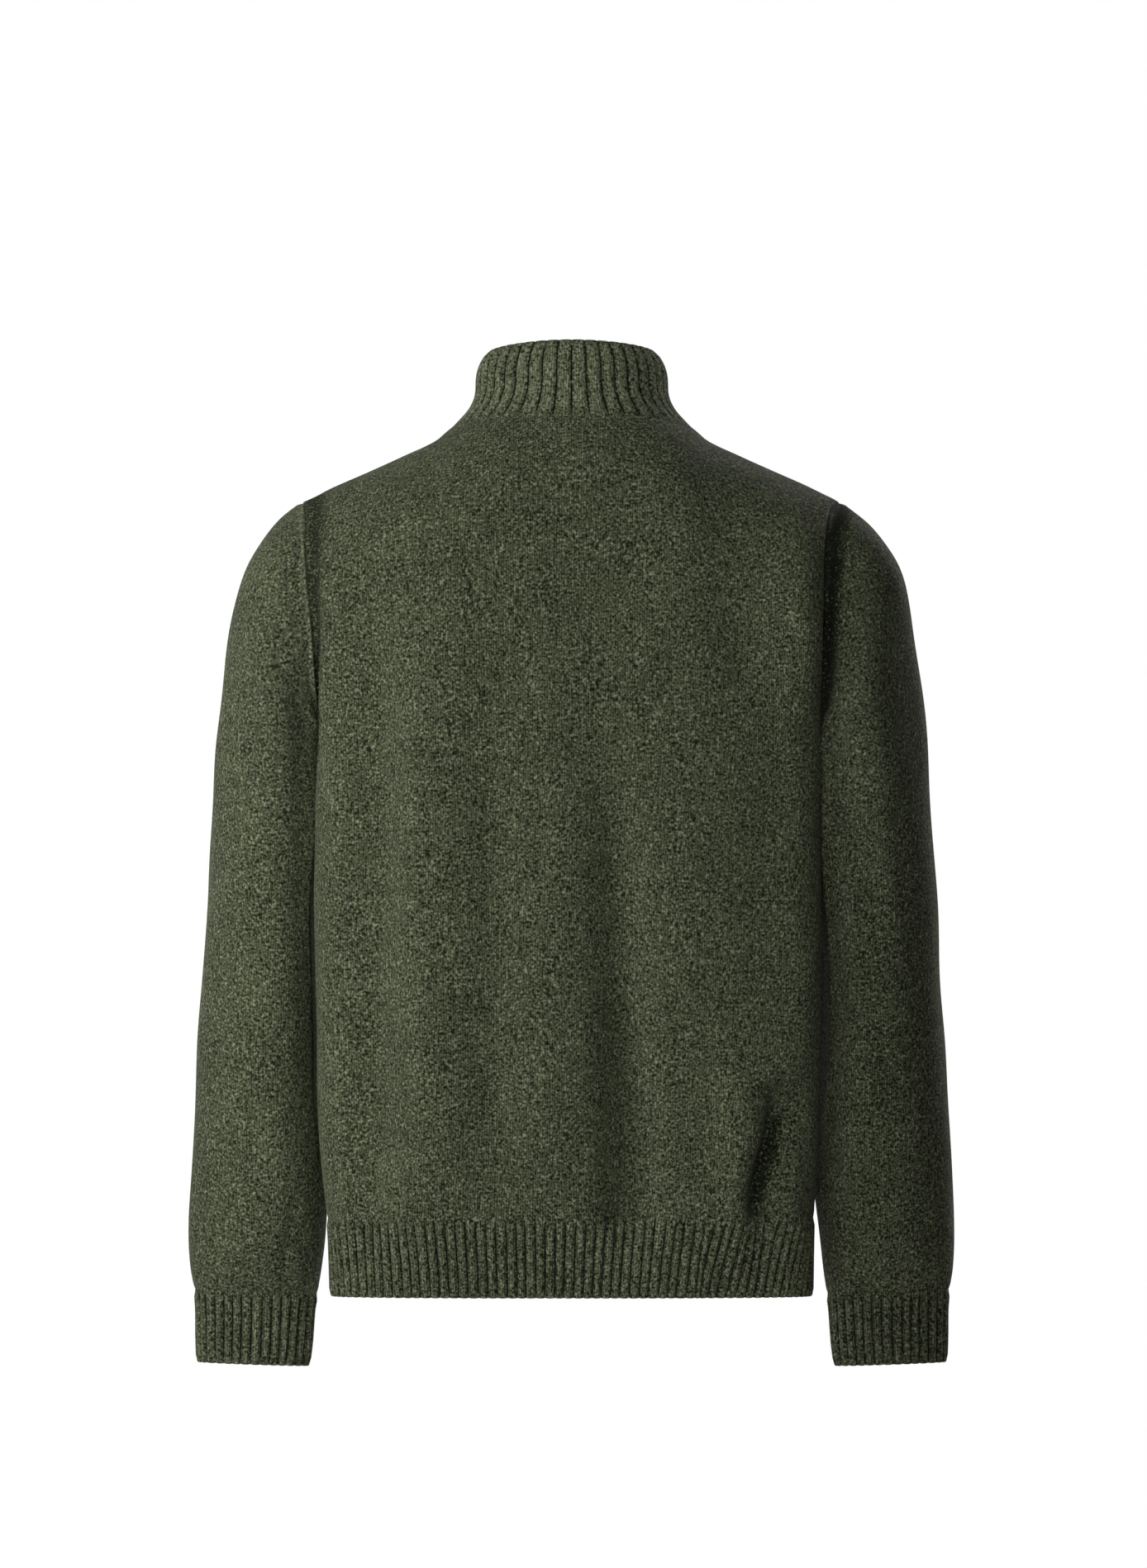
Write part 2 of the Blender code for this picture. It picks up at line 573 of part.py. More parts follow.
def sleeve_sheet(back, front, left):
    """A sleeve from armhole to cuff seam. Seen from outside, its columns run with the clock on the left arm."""
    loop = armhole_loop(back, front, left)
    rings = sleeve_rings(loop, left)
    push = sleeve_fold_height(len(rings), len(loop), SLEEVE_FOLDS)
    facing = outward(rings, closed=True) * (1 if left else -1)
    rings[1:] = beside_body(rings[1:] + facing[1:] * push[1:, :, None], left)
    return rings


def cuff_sheet(sleeve, left):
    """The cuff's rings, from the sleeve's last ring down."""
    mirror = np.array([1.0 if left else -1.0, 1.0, 1.0])
    along, across = round_loop(sleeve.shape[1], SLEEVE_POWER)
    rings = [sleeve[-1]]
    for at in range(1, len(CUFF)):
        centre, half, direction, depth = ring_frame(CUFF[at], 0)
        ring = centre + np.outer(along * half, direction) + np.outer(across * depth, FORWARD_BACK)
        rings.append(ring * mirror)
    return np.array(rings)


# ---------------------------------------------------------------- walls of cloth
class Sheet:
    """A piece of cloth before it has a thickness."""

    def __init__(self, points, closed=False, turned=False):
        self.points = points
        self.closed = closed
        self.normals = outward(points, closed) * (-1 if turned else 1)
        self.turned = turned


def share_normals(sheets):
    """Gives pieces that meet at a seam one wall direction there, unless they fold back on each other."""
    met = {}
    for sheet in sheets:
        for place in np.ndindex(sheet.points.shape[:2]):
            key = tuple(np.round(sheet.points[place], 6))
            met.setdefault(key, []).append((sheet, place, sheet.normals[place].copy()))
    for group in met.values():
        for sheet, place, own in group:
            near = [other for _, _, other in group if own @ other > FOLD_BACK]
            total = np.sum(near, axis=0)
            total /= np.linalg.norm(total)
            sheet.normals[place] = total / max(LEAST_AGREEMENT, total @ own)


def resampled(values, at):
    """Rows of values read at fractional columns, on straight lines between the columns."""
    i = np.clip(np.floor(at).astype(int), 0, values.shape[1] - 2)
    t = (at - i)[None, :, None]
    return values[:, i] * (1 - t) + values[:, i + 1] * t


def even_columns(row, count):
    """Fractional columns that cut a row of points into equal lengths."""
    length = np.concatenate([[0], np.cumsum(np.linalg.norm(np.diff(row, axis=0), axis=1))])
    return np.interp(np.linspace(0, length[-1], count + 1), length, np.arange(len(row)))


def trimmed(outer, inner, ends, closed):
    """Draws a wall back from its seams by half a gap. ends names the seams: bottom, top, start, end."""
    moves = np.zeros_like(outer)
    for name in ends:
        edge, next_in = {
            "bottom": (np.s_[0, :], np.s_[1, :]),
            "top": (np.s_[-1, :], np.s_[-2, :]),
            "start": (np.s_[:, 0], np.s_[:, 1]),
            "end": (np.s_[:, -1], np.s_[:, -2]),
        }[name]
        inwards = outer[next_in] - outer[edge]
        along = np.gradient(outer[edge], axis=0)
        if closed:
            along = np.roll(outer[edge], -1, axis=0) - np.roll(outer[edge], 1, axis=0)
        along /= np.linalg.norm(along, axis=1, keepdims=True)
        inwards -= along * (inwards * along).sum(axis=1, keepdims=True)
        inwards /= np.linalg.norm(inwards, axis=1, keepdims=True)
        moves[edge] += inwards * SEAM_GAP / 2
    return outer + moves, inner + moves


def strip_faces(grid, closed, flip):
    """Quads between the rows and columns of a grid of vertex numbers."""
    ring = np.concatenate([grid, grid[:, :1]], axis=1) if closed else grid
    faces = []
    for i in range(ring.shape[0] - 1):
        for j in range(ring.shape[1] - 1):
            face = [ring[i, j], ring[i, j + 1], ring[i + 1, j + 1], ring[i + 1, j]]
            faces.append(face[::-1] if flip else face)
    return faces


def add_object(name, vertices, faces, material):
    mesh = bpy.data.meshes.new(name)
    mesh.from_pydata([tuple(map(float, v)) for v in vertices], [], [tuple(map(int, f)) for f in faces])
    mesh.validate()
    mesh.shade_smooth()
    mesh.set_sharp_from_angle(angle=math.radians(50))
    mesh.materials.append(material)
    obj = bpy.data.objects.new(name, mesh)
    bpy.context.scene.collection.objects.link(obj)
    return obj


def wall(name, outer, inner, per_inner, closed, turned, material):
    """A closed wall between an outer and an inner grid. per_inner outer columns stand over each inner one."""
    rows, wide = outer.shape[:2]
    narrow = inner.shape[1]
    out = np.arange(rows * wide).reshape(rows, wide)
    ins = np.arange(rows * narrow).reshape(rows, narrow) + rows * wide
    faces = strip_faces(out, closed, turned) + strip_faces(ins, closed, not turned)
    cells = narrow if closed else narrow - 1
    for row, flip in ((0, turned), (rows - 1, not turned)):
        for j in range(cells):
            over = [out[row, (j * per_inner + k) % wide] for k in range(per_inner + 1)]
            face = over[::-1] + [ins[row, j], ins[row, (j + 1) % narrow]]
            faces.append(face[::-1] if flip else face)
    if not closed:
        for last, flip in ((False, turned), (True, not turned)):
            a, b = (out[:, -1], ins[:, -1]) if last else (out[:, 0], ins[:, 0])
            for i in range(rows - 1):
                face = [a[i], a[i + 1], b[i + 1], b[i]]
                faces.append(face[::-1] if flip else face)
    vertices = np.concatenate([outer.reshape(-1, 3), inner.reshape(-1, 3)])
    return add_object(name, vertices, faces, material)


def plain_wall(name, sheet, seams, material):
    """A piece in plain knit."""
    inner = sheet.points - sheet.normals * KNIT_WALL
    outer, inner = trimmed(sheet.points, inner, seams, sheet.closed)
    return wall(name, outer, inner, 1, sheet.closed, sheet.turned, material)


def ribbed_wall(name, sheet, ribs, seams, material):
    """A piece in rib: each rib is a groove and a flat crown on the outside, over a plain inside.

    ribs is how many lie side by side at even lengths, or None for one over each column of the sheet.
    """
    points, normals = sheet.points, sheet.normals
    if sheet.closed:
        points = np.concatenate([points, points[:, :1]], axis=1)
        normals = np.concatenate([normals, normals[:, :1]], axis=1)
    if ribs:
        grooves = even_columns(points[len(points) // 2], ribs)
    else:
        grooves = np.arange(points.shape[1])
        ribs = len(grooves) - 1
    first, second = (mix(grooves[:-1], grooves[1:], share) for share in RIB_CROWN)
    at = np.stack([grooves[:-1], first, second], axis=1).ravel()
    raised = np.tile([0.0, 1.0, 1.0], ribs)
    if not sheet.closed:
        at, raised = np.append(at, grooves[-1]), np.append(raised, 0.0)
    base, facing = resampled(points, at), resampled(normals, at)
    outer = base + facing * (raised * RIB_HEIGHT)[None, :, None]
    inner = base - facing * KNIT_WALL
    outer, inner = trimmed(outer, inner, seams, sheet.closed)
    return wall(name, outer, inner[:, ::3], 3, sheet.closed, sheet.turned, material)


# ---------------------------------------------------------------- zip
def zip_line(sheets, left):
    """Points, normals and sideways directions up the front edge, over the hem, the front and the collar."""
    points, normals, inwards = [], [], []
    for number, sheet in enumerate(sheets):
        edge, beside = (0, 1) if left else (-1, -2)
        rows = slice(0 if number == 0 else 1, None)
        points.append(sheet.points[rows, edge])
        normals.append(sheet.normals[rows, edge])
        inwards.append(sheet.points[rows, beside] - sheet.points[rows, edge])
    points, normals, inwards = (np.concatenate(part) for part in (points, normals, inwards))
    normals /= np.linalg.norm(normals, axis=1, keepdims=True)
    inwards -= normals * (inwards * normals).sum(axis=1, keepdims=True)
    inwards[:, 2] = 0
    return points, normals, inwards / np.linalg.norm(inwards, axis=1, keepdims=True)


def swept_bar(name, corners, material):
    """A bar through rows of four corners, closed at both ends."""
    rows = len(corners)
    grid = np.arange(rows * 4).reshape(rows, 4)
    faces = strip_faces(grid, True, False) + [list(grid[0][::-1]), list(grid[-1])]
    return add_object(name, corners.reshape(-1, 3), faces, material)


def tape_corners(line):
    """A strip behind the front's inner face, from beside the zip's middle outwards: four corners a row."""
    points, normals, inwards = line
    face = points - normals * (KNIT_WALL + TAPE_CLEARANCE)
    near = face + inwards * (TAPE_INNER_X - FRONT_EDGE_X)
    far = face + inwards * (TAPE_WIDTH - FRONT_EDGE_X)
    behind = normals * TAPE_THICKNESS
    return np.stack([near, far, far - behind, near - behind], axis=1)


def centre_line(line, corners):
    """The zip's middle line, just in front of the tapes, and the direction that it faces."""
    facing = line[1] * (0, 1, 1)
    facing /= np.linalg.norm(facing, axis=1, keepdims=True)
    return corners[:, 0] * (0, 1, 1) + facing * SEAM_GAP, facing


def cut_line(points, normals, start, end):
    """The stretch of a line between two lengths along it."""
    length = np.concatenate([[0], np.cumsum(np.linalg.norm(np.diff(points, axis=0), axis=1))])
    total = length[-1]
    stops = np.concatenate([[start], length[(length > start) & (length < total - end)], [total - end]])
    at = np.stack([np.interp(stops, length, points[:, k]) for k in range(3)], axis=1)
    facing = np.stack([np.interp(stops, length, normals[:, k]) for k in range(3)], axis=1)
    return at, facing


def chain(points, normals, material):
    """The closed rows of teeth, from the bottom box up to the slider."""
    half = SIDE * CHAIN_HALF_WIDTH
    face = half * CHAIN_FACE_SHARE
    front = points + normals * CHAIN_THICKNESS
    corners = np.stack([points - half, front - face, front + face, points + half], axis=1)
    return swept_bar("zip_chain", corners, material)


def box_on_line(name, foot, up, out, size, depth, material):
    """A block with chamfered front edges, standing on the zip line. depth gives its back and its front."""
    width, length = size
    back, front = depth
    chamfer = min(METAL_CHAMFER, width / 5)
    corners = []
    for share, inset in ((0.0, chamfer), (0.12, 0.0), (0.88, 0.0), (1.0, chamfer)):
        base = foot + up * (length * share)
        half = SIDE * (width / 2 - inset)
        corners.append(
            [
                base + out * back - half,
                base + out * (front - inset) - half,
                base + out * (front - inset) + half,
                base + out * back + half,
            ]
        )
    return swept_bar(name, np.array(corners), material)


def joined(name, base, others):
    """One solid from several that overlap."""
    for other in others:
        union = base.modifiers.new("join", "BOOLEAN")
        union.operation = "UNION"
        union.object = other
        bpy.context.view_layer.objects.active = base
        bpy.ops.object.modifier_apply(modifier=union.name)
        bpy.data.objects.remove(other)
    base.name = name
    return base


def cylinder_x(name, centre, radius, width, material):
    """A round bar along X."""
    turn = np.arange(ROUND_STEPS) / ROUND_STEPS * 2 * math.pi
    rim = np.stack([np.zeros(ROUND_STEPS), np.cos(turn), np.sin(turn)], axis=1) * radius
    ends = [centre + rim + SIDE * (width / 2) * side for side in (-1, 1)]
    grid = np.arange(2 * ROUND_STEPS).reshape(2, ROUND_STEPS)
    faces = strip_faces(grid, True, False) + [list(grid[0][::-1]), list(grid[1])]
    return add_object(name, np.concatenate(ends), faces, material)


def slider(foot, up, out, material):
    """The slider's body with two lugs and the pin between them."""
    body = box_on_line("slider_body", foot, up, out, (SLIDER_WIDTH, SLIDER_LENGTH), (0.0, SLIDER_FACE), material)
    pin_at = foot + up * (SLIDER_LENGTH * PIN_AT) + out * (SLIDER_FACE + PIN_OFFSET)
    lugs = []
    for side in (-1, 1):
        lug_foot = pin_at - up * (LUG_LENGTH / 2) + SIDE * side * (LUG_GAP + LUG_WIDTH) / 2
        offsets = (-PIN_OFFSET - LUG_ROOT, LUG_TOP)
        lugs.append(box_on_line(f"lug{side}", lug_foot, up, out, (LUG_WIDTH, LUG_LENGTH), offsets, material))
    pin = cylinder_x("pin", pin_at, PIN_RADIUS, LUG_GAP + LUG_WIDTH, material)
    return joined("zip_slider", body, [*lugs, pin]), pin_at


def pull_tab(pin_at, up, out, material):
    """A flat tab with an eye round the pin, hanging down the front of the zip."""
    right = [(row.half_width, -row.down * TAB_LENGTH) for row in TAB_OUTLINE]
    outline = [(-x, y) for x, y in right] + right[::-1]
    faces_at = [
        np.array([pin_at + SIDE * x + up * y + out * side * TAB_THICKNESS / 2 for x, y in outline])
        for side in (-1, 1)
    ]
    count = len(outline)
    grid = np.arange(2 * count).reshape(2, count)
    faces = strip_faces(grid, True, False) + [list(grid[0][::-1]), list(grid[1])]
    plate = add_object("tab_plate", np.concatenate(faces_at), faces, material)
    eye = cylinder_x("tab_eye", pin_at, TAB_EYE_RIM, TAB_WIDTH - 0.0001, material)
    tab = joined("zip_pull_tab", plate, [eye])
    hole = cylinder_x("tab_hole", pin_at, TAB_EYE_RADIUS, 3 * TAB_WIDTH, material)
    cut = tab.modifiers.new("eye", "BOOLEAN")
    cut.operation = "DIFFERENCE"
    cut.object = hole
    bpy.context.view_layer.objects.active = tab
    bpy.ops.object.modifier_apply(modifier=cut.name)
    bpy.data.objects.remove(hole)
    return tab


# ---------------------------------------------------------------- assembly
def finish(name, colour, roughness, metallic=0.0):
    material = bpy.data.materials.new(name)
    material.use_nodes = True
    shader = material.node_tree.nodes["Principled BSDF"]
    shader.inputs["Base Color"].default_value = (*colour, 1)
    shader.inputs["Roughness"].default_value = roughness
    shader.inputs["Metallic"].default_value = metallic
    return material


def build_cloth(knit):
    """All the knitted pieces. Returns the sheets beside the zip, left and right."""
    back = back_sheet()
    front = {left: front_sheet(left) for left in (True, False)}
    sleeves = {left: sleeve_sheet(back, front[left], left) for left in (True, False)}
    sheets = {
        "back": Sheet(back),
        "hem_rib_back": Sheet(hem_sheet(back, True)),
        "collar": Sheet(collar_sheet(front[True], back, front[False])),
    }
    for left, side in ((True, "left"), (False, "right")):
        sheets[f"front_{side}"] = Sheet(front[left])
        sheets[f"hem_rib_front_{side}"] = Sheet(hem_sheet(front[left], False, left))
        sheets[f"sleeve_{side}"] = Sheet(sleeves[left], closed=True, turned=not left)
        sheets[f"cuff_{side}"] = Sheet(cuff_sheet(sleeves[left], left), closed=True, turned=not left)
    share_normals(list(sheets.values()))
    plain_wall("back", sheets["back"], ("bottom", "top", "start", "end"), knit)
    ribbed_wall("hem_rib_back", sheets["hem_rib_back"], BACK_RIBS, ("top", "start", "end"), knit)
    ribbed_wall("collar", sheets["collar"], None, ("bottom",), knit)
    for side, seam in (("left", "end"), ("right", "start")):
        plain_wall(f"front_{side}", sheets[f"front_{side}"], ("bottom", "top", seam), knit)
        ribbed_wall(f"hem_rib_front_{side}", sheets[f"hem_rib_front_{side}"], FRONT_RIBS, ("top", seam), knit)
        plain_wall(f"sleeve_{side}", sheets[f"sleeve_{side}"], ("bottom", "top"), knit)
        ribbed_wall(f"cuff_{side}", sheets[f"cuff_{side}"], CUFF_RIBS, ("bottom",), knit)
    return {
        left: [sheets[f"hem_rib_front_{side}"], sheets[f"front_{side}"], sheets["collar"]]
        for left, side in ((True, "left"), (False, "right"))
    }


def build_zip(beside, tape_cloth, metal):
    """Tapes, chain, bottom box, slider and pull tab."""
    lines = {left: zip_line(beside[left], left) for left in (True, False)}
    corners = tape_corners(lines[True])
    swept_bar("zip_tape_left", corners, tape_cloth)
    swept_bar("zip_tape_right", tape_corners(lines[False])[:, ::-1], tape_cloth)
    points, normals = centre_line(lines[True], corners)
    slider_end = SLIDER_BELOW_TOP + SLIDER_LENGTH
    chain(*cut_line(points, normals, BOX_LENGTH + SEAM_GAP, slider_end + SEAM_GAP), metal)
    for name, start, length in (("box", 0.0, BOX_LENGTH), ("slider", None, SLIDER_LENGTH)):
        if start is None:
            ends, facing = cut_line(points, normals, 0.0, SLIDER_BELOW_TOP)
            top, out = ends[-1], facing[-1]
            foot = cut_line(points, normals, 0.0, slider_end)[0][-1]
        else:
            foot, out = points[0], normals[0]
            top = cut_line(points, normals, length, 0.0)[0][0]
        up = (top - foot) / np.linalg.norm(top - foot)
        out = out - up * (out @ up)
        out /= np.linalg.norm(out)
        if name == "box":
            box_on_line("zip_bottom_box", foot, up, out, (BOX_WIDTH, length), (0.0, BOX_FACE), metal)
        else:
            _, pin_at = slider(foot, up, out, metal)
            pull_tab(pin_at, up, out, metal)


def main():
    for obj in list(bpy.data.objects):
        bpy.data.objects.remove(obj)
    knit = finish("olive_marl_knit", OLIVE_MARL, 0.95)
    tape_cloth = finish("olive_zip_tape", OLIVE_TAPE, 0.85)
    metal = finish("dark_zip_metal", DARK_METAL, 0.42, metallic=1.0)
    beside = build_cloth(knit)
    build_zip(beside, tape_cloth, metal)


if __name__ == "__main__":
    main()
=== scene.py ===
"""The looks of a knitted cardigan with a ribbed funnel collar, worn and hollow, its full-length zip closed.

Metres, +Z up. The front faces -Y, so the camera looks at the back from +Y, and the wearer's left is +X. The
origin is midway between the neck ends of the shoulder seams.

Each knitted piece is first a sheet: a grid of points on the cloth's outer face. It is given its creases, then the
relief of its ribs and seams, and then a wall's thickness. Rows run upwards (on a sleeve and its cuff, downwards)
and columns run against the clock seen from above.
"""

import json
import logging
import math
from dataclasses import dataclass, field
from enum import Enum
from typing import Callable

import bpy
import numpy as np
from mathutils import Matrix, Vector

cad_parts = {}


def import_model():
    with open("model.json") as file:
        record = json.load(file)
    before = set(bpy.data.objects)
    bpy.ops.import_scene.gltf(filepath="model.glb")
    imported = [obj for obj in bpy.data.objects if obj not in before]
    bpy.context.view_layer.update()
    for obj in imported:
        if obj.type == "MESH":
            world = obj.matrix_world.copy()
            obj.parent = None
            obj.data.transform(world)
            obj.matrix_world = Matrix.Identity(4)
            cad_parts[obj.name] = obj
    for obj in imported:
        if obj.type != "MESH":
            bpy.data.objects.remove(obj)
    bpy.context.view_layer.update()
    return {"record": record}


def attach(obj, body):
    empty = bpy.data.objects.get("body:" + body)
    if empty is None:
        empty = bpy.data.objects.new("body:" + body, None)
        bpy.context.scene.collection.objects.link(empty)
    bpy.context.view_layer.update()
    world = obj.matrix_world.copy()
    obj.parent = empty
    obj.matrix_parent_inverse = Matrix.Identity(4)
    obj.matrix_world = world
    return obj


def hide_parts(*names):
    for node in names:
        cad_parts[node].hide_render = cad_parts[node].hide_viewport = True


LOG = logging.getLogger("cardigan")
Grid = np.ndarray
Colour = tuple[float, float, float]
UV_MAP = "cloth"
# Name of the corner attribute that carries painted shade into the knit's colour; under 0 it is a painted highlight.
PAINTED_SHADE = "sunk"

NECK_COLUMNS = 50  # of half a panel, from its centre to the neck end of the shoulder seam
SHOULDER_COLUMNS = 30
CHEST_ROWS = 130
YOKE_ROWS = 90
SLEEVE_ROWS = 190
CHEST_SHARE = 6 / 17  # of a panel's height that lies below the underarm
HEM_STEPS = 24
CUFF_STEPS = 22
COLLAR_STEPS = 32
LEVEL_SAMPLES = 361  # of half a level, before its columns are spaced evenly
YOKE_SAMPLES = 121  # of a yoke column below and above its turn, before its rows are spaced evenly
KNIT_WALL = 0.0025
SIDE_AXIS = np.array((1.0, 0.0, 0.0))
DEPTH_AXIS = np.array((0.0, 1.0, 0.0))
FACING = 0.9  # the least share of a direction at which a face or edge of a hard piece counts as facing it
SMOOTH_DEGREES = 35  # the sharpest turn that a hard piece's shading smooths over


class Side(Enum):
    """The wearer's side. The value is the sign of its x."""

    LEFT = 1
    RIGHT = -1


class Half(Enum):
    """The back or the front of the body. The value is the sign of its y."""

    BACK = 1
    FRONT = -1


class Edge(Enum):
    """A sheet's edges: its first and last column, and its first and last row."""

    START = "start"
    END = "end"
    FIRST = "first"
    LAST = "last"


# ---------------------------------------------------------------- curves
def column(rows: tuple, name: str) -> Grid:
    """One named column of a table as an array."""
    return np.array([getattr(row, name) for row in rows])


def smooth(at: Grid | float, known: Grid, values: Grid) -> Grid:
    """Reads a curve with no kinks.

    Args:
        at: where to read it.
        known: where its values are known, rising.
        values: the values there.

    Returns:
        The curve's values at the given places.
    """
    at = np.clip(at, known[0], known[-1])
    slopes = np.gradient(values, known)
    i = np.clip(np.searchsorted(known, at, side="right") - 1, 0, len(known) - 2)
    span = known[i + 1] - known[i]
    t = (at - known[i]) / span
    start, end = values[i], values[i + 1]
    return (
        start * (1 + 2 * t) * (1 - t) ** 2
        + end * t * t * (3 - 2 * t)
        + span * (slopes[i] * t * (1 - t) ** 2 - slopes[i + 1] * t * t * (1 - t))
    )


def ease(t: Grid | float) -> Grid:
    """0 below 0, 1 above 1, and smooth between."""
    t = np.clip(t, 0, 1)
    return t * t * (3 - 2 * t)


def mix(a: Grid | float, b: Grid | float, share: Grid | float) -> Grid:
    """a where share is 0, b where it is 1."""
    return a + (b - a) * share


def lengths(points: Grid, axis: int) -> Grid:
    """How far each point of a grid lies along its row (axis 1) or its column (axis 0)."""
    steps = np.linalg.norm(np.diff(points, axis=axis), axis=-1)
    first = [(1, 0), (0, 0)] if axis == 0 else [(0, 0), (1, 0)]
    return np.pad(np.cumsum(steps, axis=axis), first)


def line_lengths(line: Grid) -> Grid:
    """How far each point of one line lies from its start."""
    return lengths(line[None], 1)[0]


def read_line(line: Grid, length: Grid, at: Grid) -> Grid:
    """Points at lengths along a line whose own points lie at the given lengths."""
    return np.stack([np.interp(at, length, line[:, k]) for k in range(3)], axis=-1)


def unit(vectors: Grid) -> Grid:
    """Vectors, in the last axis, at length 1."""
    return vectors / np.linalg.norm(vectors, axis=-1, keepdims=True)


def outward(points: Grid, closed: bool = False) -> Grid:
    """Normals of a sheet's faces, averaged at its points.

    Args:
        points: rows x columns x 3.
        closed: whether the last column meets the first.

    Returns:
        Unit normals, rows x columns x 3.
    """
    ring = np.concatenate([points, points[:, :1]], axis=1) if closed else points
    faces = np.cross(ring[1:, 1:] - ring[:-1, :-1], ring[1:, :-1] - ring[:-1, 1:])
    total = np.zeros_like(ring)
    for rows in (slice(0, -1), slice(1, None)):
        for columns in (slice(0, -1), slice(1, None)):
            total[rows, columns] += faces
    if closed:
        total[:, 0] += total[:, -1]
        total = total[:, :-1]
    return unit(total)


def resampled(values: Grid, at: Grid) -> Grid:
    """Rows of values read at each row's own fractional columns, on straight lines between the columns."""
    i = np.clip(np.floor(at).astype(int), 0, values.shape[1] - 2)
    row = np.arange(len(values))[:, None]
    t = (at - i)[..., None]
    return values[row, i] * (1 - t) + values[row, i + 1] * t


# ---------------------------------------------------------------- tables
def table(kind: type, names: str, *rows: tuple) -> tuple:
    """A table's rows as objects.

    Args:
        kind: the rows' class.
        names: the columns, in order. A row may leave out the last ones, which then have their usual value.
        rows: the values.

    Returns:
        One object for each row.
    """
    return tuple(kind(**dict(zip(names.split(), row))) for row in rows)


@dataclass(frozen=True)
class TorsoLevel:
    """One level of the body: half widths to the wearer's left and right, and depths to the back and front."""

    z: float
    left: float
    right: float
    back: float
    front: float


@dataclass(frozen=True)
class ShoulderPoint:
    """A point of the shoulder seam, along the top of the shoulder."""

    x: float
    z: float


@dataclass(frozen=True)
class Ring:
    """A ring round the sleeve: its outermost and innermost points, its depth, and how far forward it hangs."""

    outer_x: float
    outer_z: float
    inner_x: float
    inner_z: float
    depth: float
    centre_y: float


@dataclass(frozen=True)
class ShadePoint:
    """A point of the shade in a sharp crease."""

    x: float
    z: float
    half_width: float
    shade: float


@dataclass(frozen=True)
class Crease:
    """A soft trough (depth under 0) or ridge down a body panel. bend gives it an S, sharp under 2 a narrow floor."""

    x: float
    top: float
    bottom: float
    lean: float
    half_width: float
    depth: float
    bend: float = 0.0
    sharp: float = 2.0


@dataclass(frozen=True)
class SleeveCrease:
    """A trough or ridge on a sleeve. Turns count round it: 0 underarm, 0.25 back, 0.5 outside, 0.75 front."""

    turn: float
    top: float
    bottom: float
    drift: float
    half_turn: float
    depth: float
    sharp: float = 2.0


TORSO = table(
    TorsoLevel,
    "z left right back front",
    (-0.656, 0.1835, 0.1830, 0.080, 0.088),
    (-0.628, 0.1845, 0.1835, 0.084, 0.092),
    (-0.598, 0.1855, 0.1845, 0.091, 0.100),
    (-0.560, 0.1875, 0.1865, 0.097, 0.107),
    (-0.500, 0.1895, 0.1880, 0.099, 0.110),
    (-0.362, 0.1915, 0.1885, 0.100, 0.112),
    (-0.235, 0.1940, 0.1865, 0.103, 0.113),
)
SHOULDER = table(
    ShoulderPoint,
    "x z",
    (0.093, 0.0012),
    (0.101, -0.0042),
    (0.128, -0.0173),
    (0.154, -0.0290),
    (0.181, -0.0410),
    (0.205, -0.0525),
)
SLEEVE = table(
    Ring,
    "outer_x outer_z inner_x inner_z depth centre_y",
    (0.2050, -0.0525, 0.1940, -0.235, 0.120, 0.000),
    (0.2160, -0.0590, 0.1944, -0.236, 0.127, -0.001),
    (0.2280, -0.0690, 0.1948, -0.238, 0.132, -0.002),
    (0.2390, -0.0840, 0.1952, -0.241, 0.135, -0.003),
    (0.2490, -0.1040, 0.1954, -0.245, 0.136, -0.005),
    (0.2560, -0.1300, 0.1953, -0.251, 0.136, -0.007),
    (0.2620, -0.1670, 0.1945, -0.261, 0.134, -0.010),
    (0.2670, -0.2080, 0.1925, -0.277, 0.130, -0.014),
    (0.2720, -0.2550, 0.1895, -0.302, 0.124, -0.019),
    (0.2765, -0.3150, 0.1865, -0.342, 0.118, -0.024),
    (0.2800, -0.3800, 0.1840, -0.394, 0.112, -0.029),
    (0.2840, -0.4460, 0.1830, -0.452, 0.106, -0.033),
    (0.2880, -0.5120, 0.1832, -0.514, 0.100, -0.037),
    (0.2915, -0.5750, 0.1850, -0.575, 0.094, -0.040),
    (0.2922, -0.6090, 0.1882, -0.610, 0.088, -0.042),
    (0.2912, -0.6380, 0.1922, -0.640, 0.075, -0.044),
    (0.2885, -0.6540, 0.1955, -0.657, 0.060, -0.045),
)
CUFF = SLEEVE[-1:] + table(
    Ring,
    "outer_x outer_z inner_x inner_z depth centre_y",
    (0.2870, -0.6680, 0.1972, -0.671, 0.054, -0.046),
    (0.2868, -0.6900, 0.1988, -0.693, 0.050, -0.047),
    (0.2862, -0.7080, 0.2010, -0.711, 0.049, -0.048),
)
# Painted shadow along the back's sharp lower crease.
CREASE_SHADE = table(
    ShadePoint,
    "x z half_width shade",
    (-0.1480, -0.500, 0.0040, 0.0),
    (-0.1515, -0.520, 0.0050, 0.5),
    (-0.1525, -0.535, 0.0065, 1.0),
    (-0.1490, -0.548, 0.0065, 1.3),
    (-0.1440, -0.561, 0.0055, 1.4),
    (-0.1405, -0.577, 0.0050, 1.3),
    (-0.1395, -0.590, 0.0045, 0.7),
    (-0.1390, -0.604, 0.0040, 0.0),
)
